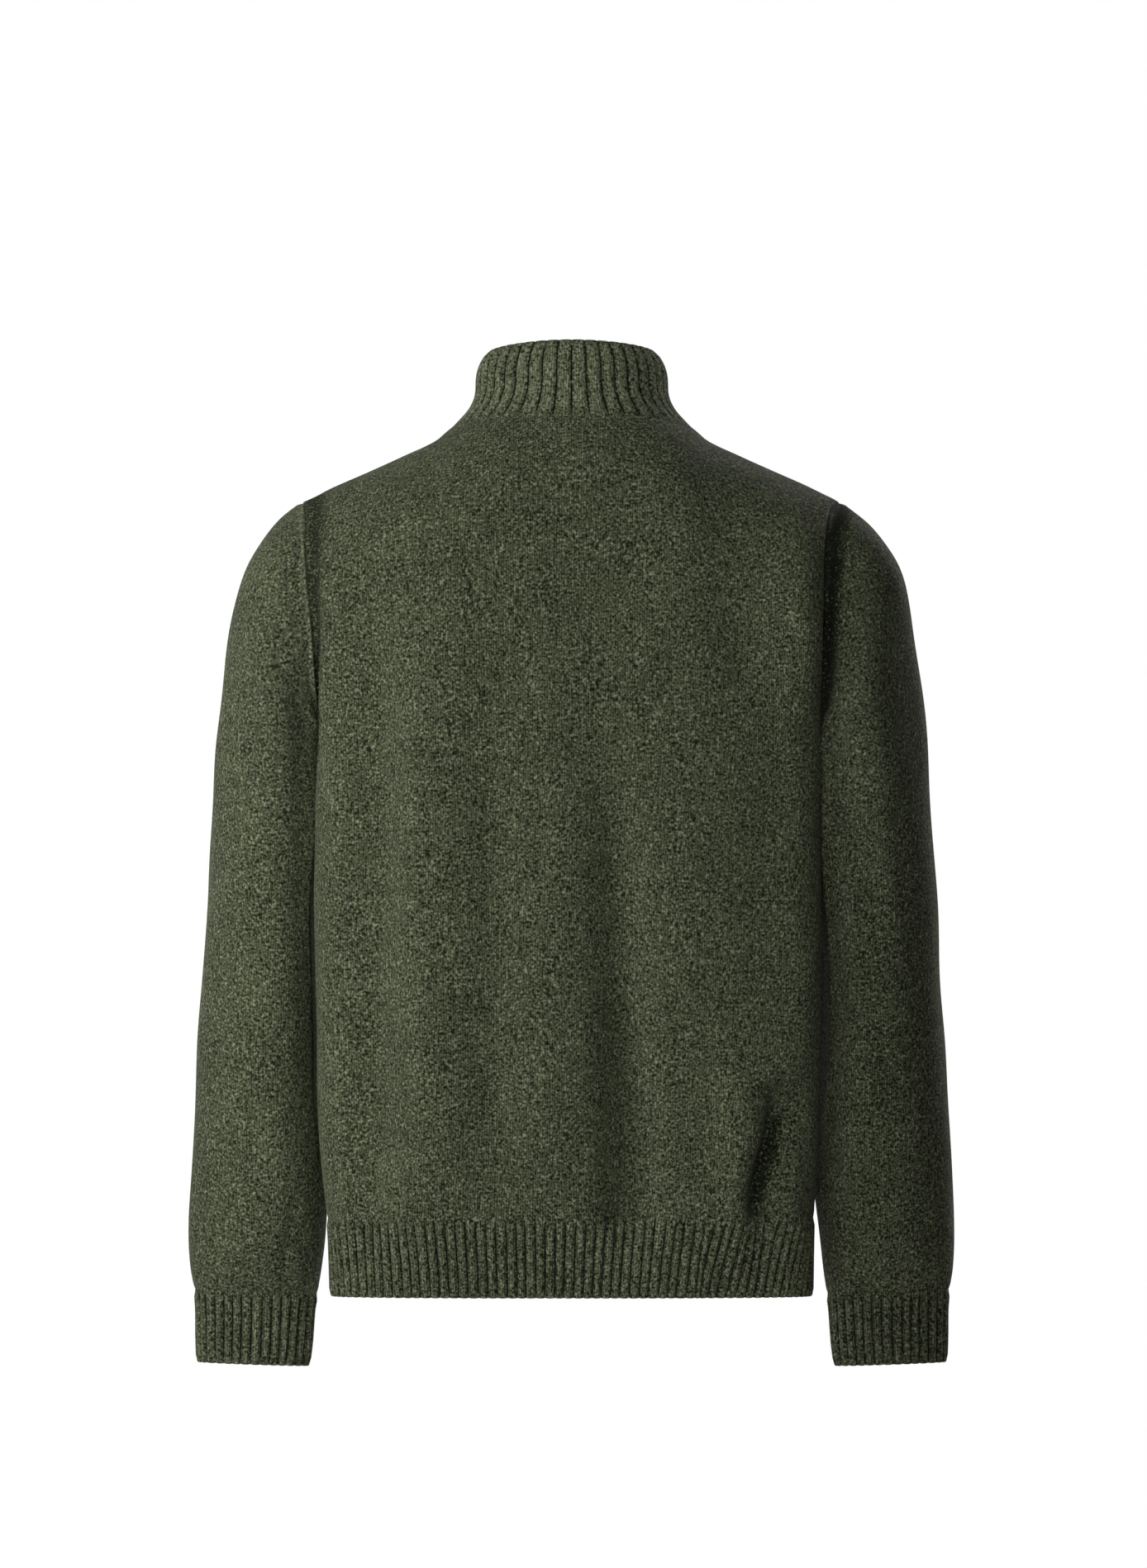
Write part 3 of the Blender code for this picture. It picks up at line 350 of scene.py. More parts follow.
BACK_CREASES = table(
    Crease,
    "x top bottom lean half_width depth bend",
    (-0.030, -0.200, -0.655, -0.022, 0.021, -0.0165),
    (-0.036, -0.400, -0.658, -0.006, 0.018, -0.0070),
    (0.062, -0.150, -0.640, -0.006, 0.021, -0.0085),
    (0.153, -0.050, -0.650, 0.000, 0.022, -0.0150),
    (0.119, -0.120, -0.600, 0.000, 0.018, 0.0030),
    (0.180, -0.140, -0.650, 0.000, 0.015, 0.0090),
    (-0.174, -0.010, -0.560, 0.000, 0.015, 0.0075),
    (0.105, -0.350, -0.640, 0.006, 0.020, 0.0020),
    (0.014, -0.300, -0.630, 0.002, 0.022, 0.0030),
    (-0.083, -0.220, -0.480, -0.004, 0.024, 0.0034),
    (-0.084, -0.400, -0.655, -0.006, 0.034, -0.0068),
    (-0.160, -0.485, -0.618, 0.010, 0.0120, -0.0235, -0.0058),
    (-0.132, -0.480, -0.615, 0.006, 0.016, 0.0060),
    (0.174, -0.020, -0.190, -0.006, 0.018, -0.0040),
    (-0.112, -0.015, -0.230, -0.026, 0.024, -0.0056),
)
BACK_FINE_CREASES = table(
    Crease,
    "x top bottom lean half_width depth",
    (-0.168, -0.520, -0.606, 0.004, 0.007, 0.0022),
    (-0.066, -0.470, -0.620, 0.004, 0.010, -0.0016),
    (0.157, -0.545, -0.620, -0.003, 0.008, -0.0024),
    (0.088, -0.480, -0.606, 0.004, 0.012, 0.0014),
    (-0.108, -0.440, -0.602, 0.010, 0.011, -0.0016),
    (0.024, -0.060, -0.230, -0.008, 0.014, 0.0011),
    (0.062, -0.050, -0.210, 0.004, 0.012, -0.0013),
    (-0.052, -0.120, -0.330, 0.006, 0.013, 0.0015),
)
FRONT_CREASES = table(
    Crease,
    "x top bottom lean half_width depth",
    (0.060, -0.230, -0.620, 0.012, 0.024, -0.0045),
    (-0.072, -0.300, -0.640, -0.006, 0.022, -0.0050),
    (0.112, -0.400, -0.640, 0.004, 0.022, 0.0040),
    (-0.118, -0.350, -0.600, 0.006, 0.026, 0.0035),
    (0.165, -0.040, -0.200, -0.020, 0.020, -0.0050),
    (-0.165, -0.040, -0.220, 0.018, 0.020, -0.0045),
)
FRONT_FINE_CREASES = table(
    Crease,
    "x top bottom lean half_width depth bend sharp",
    (0.151, -0.500, -0.612, -0.008, 0.010, -0.0030, 0.003, 1.6),
    (-0.148, -0.520, -0.612, 0.006, 0.010, -0.0026, -0.003, 1.6),
    (0.040, -0.500, -0.610, 0.004, 0.009, -0.0014),
    (-0.046, -0.460, -0.606, -0.004, 0.010, -0.0013),
    (-0.092, -0.470, -0.606, -0.004, 0.011, 0.0013),
)
SLEEVE_CREASES = table(
    SleeveCrease,
    "turn top bottom drift half_turn depth",
    (0.10, 0.00, 0.66, 0.00, 0.044, 0.0090),
    (0.22, 0.10, 1.02, 0.00, 0.090, 0.0048),
    (0.42, 0.10, 0.60, 0.03, 0.050, 0.0030),
    (0.72, 0.35, 0.90, 0.05, 0.050, -0.0040),
    (0.90, 0.04, 0.45, -0.12, 0.040, -0.0050),
)
SLEEVE_FINE_CREASES = table(
    SleeveCrease,
    "turn top bottom drift half_turn depth sharp",
    (0.17, 0.78, 1.02, 0.02, 0.020, -0.0022, 1.6),
    (0.36, 0.82, 1.02, -0.02, 0.018, -0.0018, 1.6),
    (0.55, 0.80, 1.02, 0.01, 0.022, -0.0020, 1.6),
    (0.80, 0.76, 1.02, -0.02, 0.022, -0.0024, 1.6),
    (0.26, 0.45, 0.72, 0.05, 0.022, 0.0012),
)


# ---------------------------------------------------------------- forms
@dataclass
class BodyForm:
    """The worn form of the body: where a panel's cloth lies at each level and share of its width."""

    hem_bottom_z: float = -0.656
    hem_height: float = 0.058
    chest_z: float = -0.235
    front_edge_x: float = 0.0055
    power_back: float = 2.8
    power_front: float = 2.3
    neck_x: float = 0.093
    neck_back_y: float = 0.062
    neck_front_y: float = 0.080
    ridge_rise: float = 0.0228
    neck_lift: float = 0.0112
    neck_foot_x: float = 0.102
    neck_lift_curve: float = 2.5
    depth_curve: float = 2.6
    rounding_curve: float = 1.2
    rounding_back: float = 0.112
    rounding_front: float = 0.240
    armhole_depth: float = 0.060
    neck_share: float = 0.44
    neck_lean: float = 2.0
    armhole_turn: float = 8.0
    lean_left: float = 1.5
    lean_right: float = 3.5
    lean_curve: int = 4

    def shares(self) -> Grid:
        """How far from the centre (0) to the side (1) each column of half a panel lies."""
        to_neck = np.linspace(0, self.neck_share, NECK_COLUMNS + 1)
        return np.concatenate([to_neck, np.linspace(self.neck_share, 1, SHOULDER_COLUMNS + 1)[1:]])

    def centre_x(self, half: Half) -> float:
        """Where half a panel starts: the middle of the back, or a front's edge."""
        return 0.0 if half is Half.BACK else self.front_edge_x

    def level(self, z: float, side: Side, half: Half) -> Grid:
        """One level of half a panel below the underarm, as columns x 3."""
        heights = column(TORSO, "z")
        half_width = smooth(z, heights, column(TORSO, side.name.lower()))
        depth = smooth(z, heights, column(TORSO, half.name.lower()))
        power = self.power_back if half is Half.BACK else self.power_front
        angle = np.linspace(0, math.pi / 2, LEVEL_SAMPLES)
        start = self.centre_x(half)
        x = start + (half_width - start) * np.sin(angle) ** (2 / power)
        y = depth * np.cos(angle) ** (2 / power)
        length = np.concatenate([[0], np.cumsum(np.hypot(np.diff(x), np.diff(y)))])
        at = self.shares() * length[-1]
        x, y = np.interp(at, length, x), np.interp(at, length, y)
        return np.stack([x * side.value, y * half.value, np.full(len(x), z)], axis=1)

    def shoulder_line(self, x: Grid) -> Grid:
        """The height of the shoulder line at each x, running on over the neck."""
        x = np.abs(x)
        above = self.ridge_rise * (1 - (np.minimum(x, self.neck_x) / self.neck_x) ** 2)
        return above + smooth(x, column(SHOULDER, "x"), column(SHOULDER, "z"))

    def lift(self, x: Grid) -> Grid:
        """How much higher the cloth ends at the neck seam than its smooth form would."""
        return self.neck_lift * (1 - np.minimum(1, np.abs(x) / self.neck_foot_x) ** self.neck_lift_curve)

    def upper_depth(self, share: Grid, half: Half) -> tuple[Grid, Grid]:
        """A column's greatest depth, and the height over which it rounds down to it from the shoulder."""
        armhole_half = (SHOULDER[-1].z - self.chest_z) / 2
        chest = TORSO[-1].back if half is Half.BACK else TORSO[-1].front
        rounding = self.rounding_back if half is Half.BACK else self.rounding_front
        depth = mix(chest, self.armhole_depth, share**self.depth_curve)
        return depth, mix(rounding, armhole_half, share**self.rounding_curve)

    def top_row(self, side: Side, half: Half) -> Grid:
        """The upper edge of half a panel: the neck seam, then the shoulder seam."""
        shares = self.shares()
        turn = np.clip(shares / self.neck_share, 0, 1) * math.pi / 2
        along = np.clip((shares - self.neck_share) / (1 - self.neck_share), 0, 1)
        start = self.centre_x(half)
        neck_x = start + (self.neck_x - start) * np.sin(turn)
        x = np.where(shares <= self.neck_share, neck_x, mix(SHOULDER[0].x, SHOULDER[-1].x, along))
        y = (self.neck_back_y if half is Half.BACK else self.neck_front_y) * np.cos(turn)
        depth, height = self.upper_depth(shares, half)
        z = self.shoulder_line(x) + self.lift(x) - height * (1 - np.sqrt(1 - (y / depth) ** 2))
        return np.stack([x * side.value, y * half.value, z], axis=1)

    def yoke_column(self, share: float, chest: Grid, top: Grid, side: Side, half: Half) -> Grid:
        """One column from the chest up to the neck or shoulder seam, at even lengths."""
        depth, height = self.upper_depth(share, half)
        level = (self.shoulder_line(top[0]) - height - chest[2]) / (top[2] - self.lift(top[0]) - chest[2])
        up = np.concatenate([np.linspace(0, level, YOKE_SAMPLES)[:-1], np.linspace(level, 1, YOKE_SAMPLES)])
        lean = mix(self.neck_lean, self.lean_left if side is Side.LEFT else self.lean_right, share**self.lean_curve)
        x = mix(chest[0], top[0], up**lean)
        over = np.clip((up - level) / (1 - level), 0, 1)
        angle = mix(math.pi / 2, math.asin(abs(top[1]) / depth), over)
        rise = np.minimum(1, up / level)
        swell = mix(ease(rise), np.sqrt(1 - (1 - rise) ** 2), share**self.armhole_turn)
        ridge = self.shoulder_line(x)
        y = np.where(up < level, mix(abs(chest[1]), depth, swell), depth * np.sin(angle))
        z = np.where(up < level, mix(chest[2], ridge - height, rise), ridge - height * (1 - np.cos(angle)))
        points = np.stack([x, y * half.value, z + self.lift(x) * ease(over)], axis=1)
        length = line_lengths(points)
        return read_line(points, length, np.linspace(0, length[-1], YOKE_ROWS + 1)[1:])

    def half_panel(self, side: Side, half: Half) -> Grid:
        """Half a body panel without its creases, from the rib up, rows x columns x 3."""
        levels = np.linspace(self.hem_bottom_z + self.hem_height, self.chest_z, CHEST_ROWS + 1)
        rows = [self.level(z, side, half) for z in levels]
        top = self.top_row(side, half)
        columns = [self.yoke_column(*ends, side, half) for ends in zip(self.shares(), rows[-1], top)]
        return np.concatenate([rows, np.stack(columns, axis=1)])


@dataclass
class Creasing:
    """How creases push a sheet in and out, and where they die away."""

    start: float = 0.3
    end: float = 0.25
    top_fade: float = 0.18
    side_fade: float = 0.035

    def along(self, share: Grid) -> Grid:
        """How deep a crease is at a share of its length."""
        return ease(share / self.start) * ease((1 - share) / self.end)

    def push(self, points: Grid, creases: tuple[Crease, ...]) -> Grid:
        """How far the creases push each point of a body panel in or out."""
        x, z = points[..., 0], points[..., 2]
        height = np.zeros_like(x)
        for crease in creases:
            down = (crease.top - z) / (crease.top - crease.bottom)
            middle = crease.x + crease.lean * down + crease.bend * np.sin(2 * math.pi * down)
            across = np.abs((x - middle) / crease.half_width)
            height += crease.depth * self.along(down) * np.exp(-(across**crease.sharp))
        return height

    def fade(self, rows: int, columns: int, seams: tuple[Edge, ...]) -> Grid:
        """1 on the open panel and 0 on its side, armhole, shoulder and neck seams."""
        across = np.arange(columns)[None] / (columns - 1)
        below, above = np.linspace(0, CHEST_SHARE, CHEST_ROWS + 1), np.linspace(CHEST_SHARE, 1, YOKE_ROWS + 1)
        up = np.concatenate([below, above[1:]])
        fade = ease((1 - up[:rows, None]) / self.top_fade) * np.ones((rows, columns))
        if Edge.START in seams:
            fade = fade * ease(across / self.side_fade)
        if Edge.END in seams:
            fade = fade * ease((1 - across) / self.side_fade)
        return fade

    def creased(self, points: Grid, creases: tuple[Crease, ...], seams: tuple[Edge, ...]) -> Grid:
        """A panel pushed in and out by its creases, along its own normals."""
        push = self.push(points, creases) * self.fade(*points.shape[:2], seams)
        return points + outward(points) * push[..., None]

    def sleeve_push(self, rows: int, count: int, creases: tuple[SleeveCrease, ...]) -> Grid:
        """How far the creases push each point of a sleeve in or out."""
        down = np.linspace(0, 1, rows)[:, None]
        turn = (np.arange(count) / count)[None]
        height = np.zeros((rows, count))
        for crease in creases:
            share = (down - crease.top) / (crease.bottom - crease.top)
            across = (turn - crease.turn - crease.drift * share + 0.5) % 1 - 0.5
            height += crease.depth * self.along(share) * np.exp(-(np.abs(across / crease.half_turn) ** crease.sharp))
        return height


@dataclass
class Drape:
    """The slight unevenness of soft knit: a few long waves through the whole garment, the same each time."""

    seed: int = 7
    depth: float = 0.00032
    shortest: float = 0.034
    longest: float = 0.150
    waves: int = 16
    side_share: float = 0.5
    fades_z: float = -0.005
    fades_over: float = 0.060
    stretch: tuple[float, float, float] = (1.0, 1.0, 0.7)
    length_curve: float = 0.8

    def push(self, points: Grid) -> Grid:
        """How far the waves push each point in or out."""
        chance = np.random.default_rng(self.seed)
        height = np.zeros(points.shape[:-1])
        for _ in range(self.waves):
            length = chance.uniform(self.shortest, self.longest)
            direction = chance.normal(0, 1, 3) * self.stretch
            phase = chance.uniform(0, 2 * math.pi)
            lie = points @ (direction / np.linalg.norm(direction))
            height += np.sin(2 * math.pi * lie / length + phase) * (length / self.longest) ** self.length_curve
        return height * self.depth

    def around_body(self, points: Grid) -> Grid:
        """Points of the body pushed away from its middle line, less and less towards the shoulders."""
        away = points * (self.side_share, 1.0, 0.0)
        away /= np.maximum(np.linalg.norm(away, axis=-1, keepdims=True), 1e-6)
        height = self.push(points) * ease((self.fades_z - points[..., 2]) / self.fades_over)
        return points + away * height[..., None]


# ---------------------------------------------------------------- sheets and walls
def linked(name: str, data: bpy.types.ID) -> bpy.types.Object:
    """A new object of the scene with its data."""
    obj = bpy.data.objects.new(name, data)
    bpy.context.scene.collection.objects.link(obj)
    return obj


@dataclass
class Sheet:
    """A knitted piece before it gets its thickness."""

    name: str
    points: Grid
    closed: bool = False
    turned: bool = False
    normals: Grid = field(init=False)

    def __post_init__(self) -> None:
        """Works out the normals of the piece by itself."""
        self.normals = outward(self.points, self.closed) * (-1 if self.turned else 1)

    def ring(self, values: Grid) -> Grid:
        """Values with the first column repeated at the end of a closed sheet."""
        return np.concatenate([values, values[:, :1]], axis=1) if self.closed else values

    def across(self) -> Grid:
        """Lengths along each row from its first column. A closed sheet has one column more than points."""
        return lengths(self.ring(self.points), 1)

    def along(self) -> Grid:
        """Lengths along each column from its first row."""
        return lengths(self.ring(self.points), 0)

    def border(self) -> list[tuple[int, int]]:
        """The places of the points that may lie on a seam."""
        rows, columns = self.points.shape[:2]
        places = [(row, j) for row in (0, rows - 1) for j in range(columns)]
        if not self.closed:
            places += [(i, j) for j in (0, columns - 1) for i in range(1, rows - 1)]
        return places


def share_normals(sheets: list[Sheet], fold_back: float = 0.2, least: float = 0.6) -> None:
    """Gives sheets that are sewn together one normal at each point of their seam.

    Args:
        sheets: all the pieces.
        fold_back: pieces whose normals agree less than this fold back on each other and keep their own.
        least: keeps a shared normal from growing too long where pieces meet at an angle.
    """
    met: dict[tuple, list] = {}
    for sheet in sheets:
        for place in sheet.border():
            key = tuple(np.round(sheet.points[place], 6))
            met.setdefault(key, []).append((sheet, place, sheet.normals[place].copy()))
    for group in met.values():
        for sheet, place, own in group:
            total = np.sum([other for _, _, other in group if own @ other > fold_back], axis=0)
            total /= np.linalg.norm(total)
            sheet.normals[place] = total / max(least, total @ own)


@dataclass
class Wall:
    """Makes a closed wall of cloth from an outer and an inner grid, with a UV map in metres."""

    rim_steps: int = 4
    rim_length: float = 0.004
    sharp_degrees: float = 62

    def rim(self, outer: Grid, inner: Grid, beyond: Grid) -> Grid:
        """Rows that round an open edge from the outer to the inner face.

        Args:
            outer: the outer face's edge row.
            inner: the inner face's edge row.
            beyond: the outer face's row next to the edge.

        Returns:
            rim_steps rows x columns x 3.
        """
        middle, half = (outer + inner) / 2, (outer - inner) / 2
        out = outer - beyond
        out -= half * ((out * half).sum(1) / (half * half).sum(1))[:, None]
        out *= (np.linalg.norm(half, axis=1) / np.linalg.norm(out, axis=1))[:, None]
        angles = np.linspace(0, math.pi, self.rim_steps + 2)[1:-1]
        return np.array([middle + half * math.cos(a) + out * math.sin(a) for a in angles])

    def build(
        self, name: str, outer: Grid, inner: Grid, flat: Grid, closed: bool, turned: bool, rims: tuple[Edge, ...]
    ) -> bpy.types.Object:
        """Builds the wall's mesh.

        Args:
            name: the object's name.
            outer: points of the outer face, rows x columns x 3.
            inner: points of the inner face, in the same order.
            flat: metres across and along and how much painted shade each point carries, under 0 a painted
            highlight, with one column more than the points on a closed wall.
            closed: whether the last column meets the first.
            turned: whether the columns run with the clock.
            rims: the open edges that are rounded, of FIRST and LAST.

        Returns:
            The new object.
        """
        rows = [outer]
        maps = [flat]
        for edge, end, beyond, way in ((Edge.LAST, -1, -2, 1), (Edge.FIRST, 0, 1, -1)):
            if edge in rims:
                rows.append(self.rim(outer[end], inner[end], outer[beyond])[::way])
                step = np.linspace(0, 1, self.rim_steps)[:, None] * (0, self.rim_length * way, 0)
                maps.append(flat[end][None] + step[::way, None])
            if edge is Edge.LAST:
                rows.append(inner[::-1])
                maps.append(flat[::-1] * (1, 1, 0))
        grid, spread = np.concatenate(rows), np.concatenate(maps)
        total, wide = grid.shape[:2]
        r, c = np.meshgrid(np.arange(total), np.arange(wide if closed else wide - 1), indexing="ij")
        corners = np.stack([np.stack([r, r, r + 1, r + 1], -1) % total, np.stack([c, c + 1, c + 1, c], -1)], -1)
        corners = corners.reshape(-1, 4, 2)
        faces = [face[::-1] if turned else face for face in corners.tolist()]
        if not closed:
            faces += self.caps(len(outer), total, wide, rims, turned)
        at = np.array([corner for face in faces for corner in face])
        mesh = bpy.data.meshes.new(name)
        mesh.from_pydata(
            grid.reshape(-1, 3).tolist(), [], [[row * wide + place % wide for row, place in face] for face in faces]
        )
        corner = spread[at[:, 0], at[:, 1]].astype(np.float32)
        layer = mesh.uv_layers.new(name=UV_MAP)
        layer.data.foreach_set("uv", corner[:, :2].ravel())
        # Painted shade, under 0 a painted highlight, stored on each corner.
        sunk = mesh.attributes.new(PAINTED_SHADE, "FLOAT", "CORNER")
        sunk.data.foreach_set("value", corner[:, 2].ravel())
        mesh.shade_smooth()
        mesh.set_sharp_from_angle(angle=math.radians(self.sharp_degrees))
        return linked(name, mesh)

    def caps(self, rows: int, total: int, wide: int, rims: tuple[Edge, ...], turned: bool) -> list[list[list[int]]]:
        """Faces that close the first and last column of an open wall, as corners of row and column."""
        last_inner = rows + (self.rim_steps if Edge.LAST in rims else 0)
        inner_of = [last_inner + rows - 1 - i for i in range(rows)]
        faces = []
        for at, flip in ((0, True), (wide - 1, False)):
            side = [[[i, at], [inner_of[i], at], [inner_of[i + 1], at], [i + 1, at]] for i in range(rows - 1)]
            if Edge.LAST in rims:
                side.append([[k, at] for k in range(last_inner, rows - 2, -1)])
            if Edge.FIRST in rims:
                side.append([[0, at]] + [[k, at] for k in range(total - 1, inner_of[0] - 1, -1)])
            faces += [face[::-1] if flip != turned else face for face in side]
        return faces


@dataclass(frozen=True)
class SeamRelief:
    """How the cloth lies beside a seam: a groove at the stitches, and a ridge or valley (swell) next to it.

    seam_shade and valley_shade are painted shade in the groove and the valley, or under 0 a painted highlight.
    """

    groove: float = 0.0007
    groove_width: float = 0.0020
    swell: float = 0.0005
    swell_at: float = 0.0050
    swell_width: float = 0.0028
    rise: float = 0.0030
    seam_shade: float = 0.35
    valley_shade: float = 0.0

    def reach(self, distance: Grid) -> tuple[Grid, Grid]:
        """How far, from 0 to 1, the groove and the swell act at each distance from the seam."""
        swell = np.exp(-(((distance - self.swell_at) / self.swell_width) ** 2))
        return np.exp(-((distance / self.groove_width) ** 2)), swell

    def push(self, distance: Grid) -> Grid:
        """The outer face's rise at each distance from the seam."""
        groove, swell = self.reach(distance)
        return self.swell * swell * (1 - np.exp(-((distance / self.rise) ** 2))) - self.groove * groove

    def sunk(self, distance: Grid) -> Grid:
        """How much painted shade, or under 0 painted highlight, the groove and the valley or ridge get at each
        distance.
        """
        groove, swell = self.reach(distance)
        return groove * self.seam_shade + swell * self.valley_shade


@dataclass(frozen=True)
class Ribbing:
    """Ribs on a sheet: wide rounded crowns between narrow grooves, with painted shade in the grooves and a painted
    highlight on the crowns.
    """

    height: float = 0.0013
    groove: float = 0.0013
    crown: float = 2.6
    steps: int = 10
    wales: float = 2.0
    wale: float = 0.0037
    unevenness: float = 0.05
    shade_curve: float = 1.5
    groove_shade: float = 1.5
    crown_light: float = 0.2
    seed: int = 5

    def grooves(self, sheet: Sheet, ribs: int) -> Grid:
        """Fractional columns of the grooves, at nearly even lengths."""
        row = sheet.ring(sheet.points)[len(sheet.points) // 2]
        length = line_lengths(row)
        places = np.linspace(0, 1, ribs + 1)
        uneven = np.random.default_rng(self.seed).normal(0, self.unevenness / ribs, ribs + 1)
        uneven[[0, -1]] = 0
        return np.interp((places + uneven) * length[-1], length, np.arange(len(row)))

    def raised(self, sheet: Sheet, grooves: Grid, fade: Grid, lean: Grid) -> tuple[Grid, Grid, Grid]:
        """Outer points, inner points and the flat map of the ribbed sheet.

        Args:
            sheet: the plain sheet.
            grooves: fractional columns of the grooves.
            fade: how high the ribs stand in each row, from 0 to 1.
            lean: by how many columns each rib is moved sideways, rows x 1 or rows x ribs + 1.

        Returns:
            The outer face, the inner face, and the wall's flat map.
        """
        share = np.arange(self.steps) / self.steps
        at = np.append((grooves[:-1, None] + np.diff(grooves)[:, None] * share).ravel(), grooves[-1])
        phase = np.append(np.tile(share, len(grooves) - 1), 0)
        crown = 1 - np.abs(2 * phase - 1) ** self.crown
        moved = np.clip(at[None] + lean, 0, grooves[-1])
        points, normals = resampled(sheet.ring(sheet.points), moved), resampled(sheet.ring(sheet.normals), moved)
        push = (crown * (self.height + self.groove) - self.groove)[None] * fade[:, None]
        outer, inner = points + normals * push[..., None], points - normals * KNIT_WALL
        across = np.arange(len(at)) / self.steps * self.wales * self.wale
        # Painted shade in the grooves, and a painted highlight on the crowns.
        sunk = ((1 - crown)[None] ** self.shade_curve * self.groove_shade - self.crown_light) * fade[:, None]
        flat = np.stack(np.broadcast_arrays(across[None], lengths(points, 0), sunk), axis=-1)
        if sheet.closed:
            outer, inner = outer[:, :-1], inner[:, :-1]
        return outer, inner, flat


# ---------------------------------------------------------------- shader building
class Value:
    """One number of a shader. Python's operators on it add Math nodes."""

    def __init__(self, shader: "Shader", socket: bpy.types.NodeSocket) -> None:
        """Wraps an output socket."""
        self.shader = shader
        self.socket = socket

    def math(self, operation: str, *others: "Value | float", first: bool = True) -> "Value":
        """One Math node on this value and others; first says which side this value stands on."""
        inputs = (self, *others) if first else (*others, self)
        return self.shader.value("ShaderNodeMath", {"operation": operation}, dict(enumerate(inputs)))

    def __add__(self, other: "Value | float") -> "Value":
        """self + other."""
        return self.math("ADD", other)

    def __radd__(self, other: float) -> "Value":
        """other + self."""
        return self.math("ADD", other, first=False)

    def __sub__(self, other: "Value | float") -> "Value":
        """self - other."""
        return self.math("SUBTRACT", other)

    def __rsub__(self, other: float) -> "Value":
        """other - self."""
        return self.math("SUBTRACT", other, first=False)

    def __mul__(self, other: "Value | float") -> "Value":
        """self * other."""
        return self.math("MULTIPLY", other)

    def __rmul__(self, other: float) -> "Value":
        """other * self."""
        return self.math("MULTIPLY", other, first=False)

    def __pow__(self, other: "Value | float") -> "Value":
        """self ** other."""
        return self.math("POWER", other)


class Shader:
    """A material's nodes, with a Principled surface."""

    def __init__(self, name: str, fixed: dict[str, object]) -> None:
        """Starts the material. fixed holds the surface's sockets that are the same all over."""
        self.material = bpy.data.materials.new(name)
        self.material.use_nodes = True
        self.tree = self.material.node_tree
        self.surface = self.tree.nodes["Principled BSDF"]
        for socket, setting in fixed.items():
            self.surface.inputs[socket].default_value = setting

    def node(self, kind: str, settings: dict[str, object], inputs: dict) -> bpy.types.Node:
        """Adds a node of a type, with its settings and then the values or links of its sockets."""
        made = self.tree.nodes.new(kind)
        for name, setting in settings.items():
            if name == "stops":
                self.set_stops(made.color_ramp, setting)
            else:
                setattr(made, name, setting)
        for socket, given in inputs.items():
            if isinstance(given, Value):
                self.tree.links.new(given.socket, made.inputs[socket])
            elif isinstance(given, bpy.types.NodeSocket):
                self.tree.links.new(given, made.inputs[socket])
            else:
                made.inputs[socket].default_value = given
        return made

    @staticmethod
    def set_stops(ramp: bpy.types.ColorRamp, stops: tuple[tuple[float, Colour], ...]) -> None:
        """Gives a colour ramp its stops."""
        while len(ramp.elements) < len(stops):
            ramp.elements.new(1.0)
        for element, (place, colour) in zip(ramp.elements, stops):
            element.position = place
            element.color = (*colour, 1)

    def value(self, kind: str, settings: dict[str, object], inputs: dict, output: int | str = 0) -> Value:
        """Adds a node and wraps one of its outputs."""
        return Value(self, self.node(kind, settings, inputs).outputs[output])

    def set(self, socket: str, given: Value | bpy.types.NodeSocket) -> None:
        """Links one of the surface's sockets."""
        self.tree.links.new(given.socket if isinstance(given, Value) else given, self.surface.inputs[socket])

    def place(self) -> bpy.types.NodeSocket:
        """Where a point of the object lies, in metres."""
        return self.node("ShaderNodeTexCoord", {}, {}).outputs["Object"]

    def cloth(self) -> tuple[Value, Value]:
        """Metres across and along the cloth, from its UV map."""
        uv = self.node("ShaderNodeUVMap", {"uv_map": UV_MAP}, {}).outputs["UV"]
        flat = self.node("ShaderNodeSeparateXYZ", {}, {0: uv})
        return Value(self, flat.outputs[0]), Value(self, flat.outputs[1])

    def noise(self, place: bpy.types.NodeSocket, scale: float, detail: float, rough: float) -> Value:
        """A noise value at a scale in features per metre."""
        inputs = {"Vector": place, "Scale": scale, "Detail": detail, "Roughness": rough}
        return self.value("ShaderNodeTexNoise", {}, inputs)

    def colour(self, tone: Value, *stops: tuple[float, Colour]) -> None:
        """Links the surface's colour to a tone, through the stops of a colour ramp."""
        ramp = self.node("ShaderNodeValToRGB", {"stops": stops}, {0: tone})
        self.set("Base Color", ramp.outputs[0])

    def bump(self, height: Value, distance: float, strength: float) -> None:
        """Links a height to the surface's normal."""
        made = self.node("ShaderNodeBump", {}, {"Strength": strength, "Distance": distance, "Height": height})
        self.set("Normal", made.outputs["Normal"])


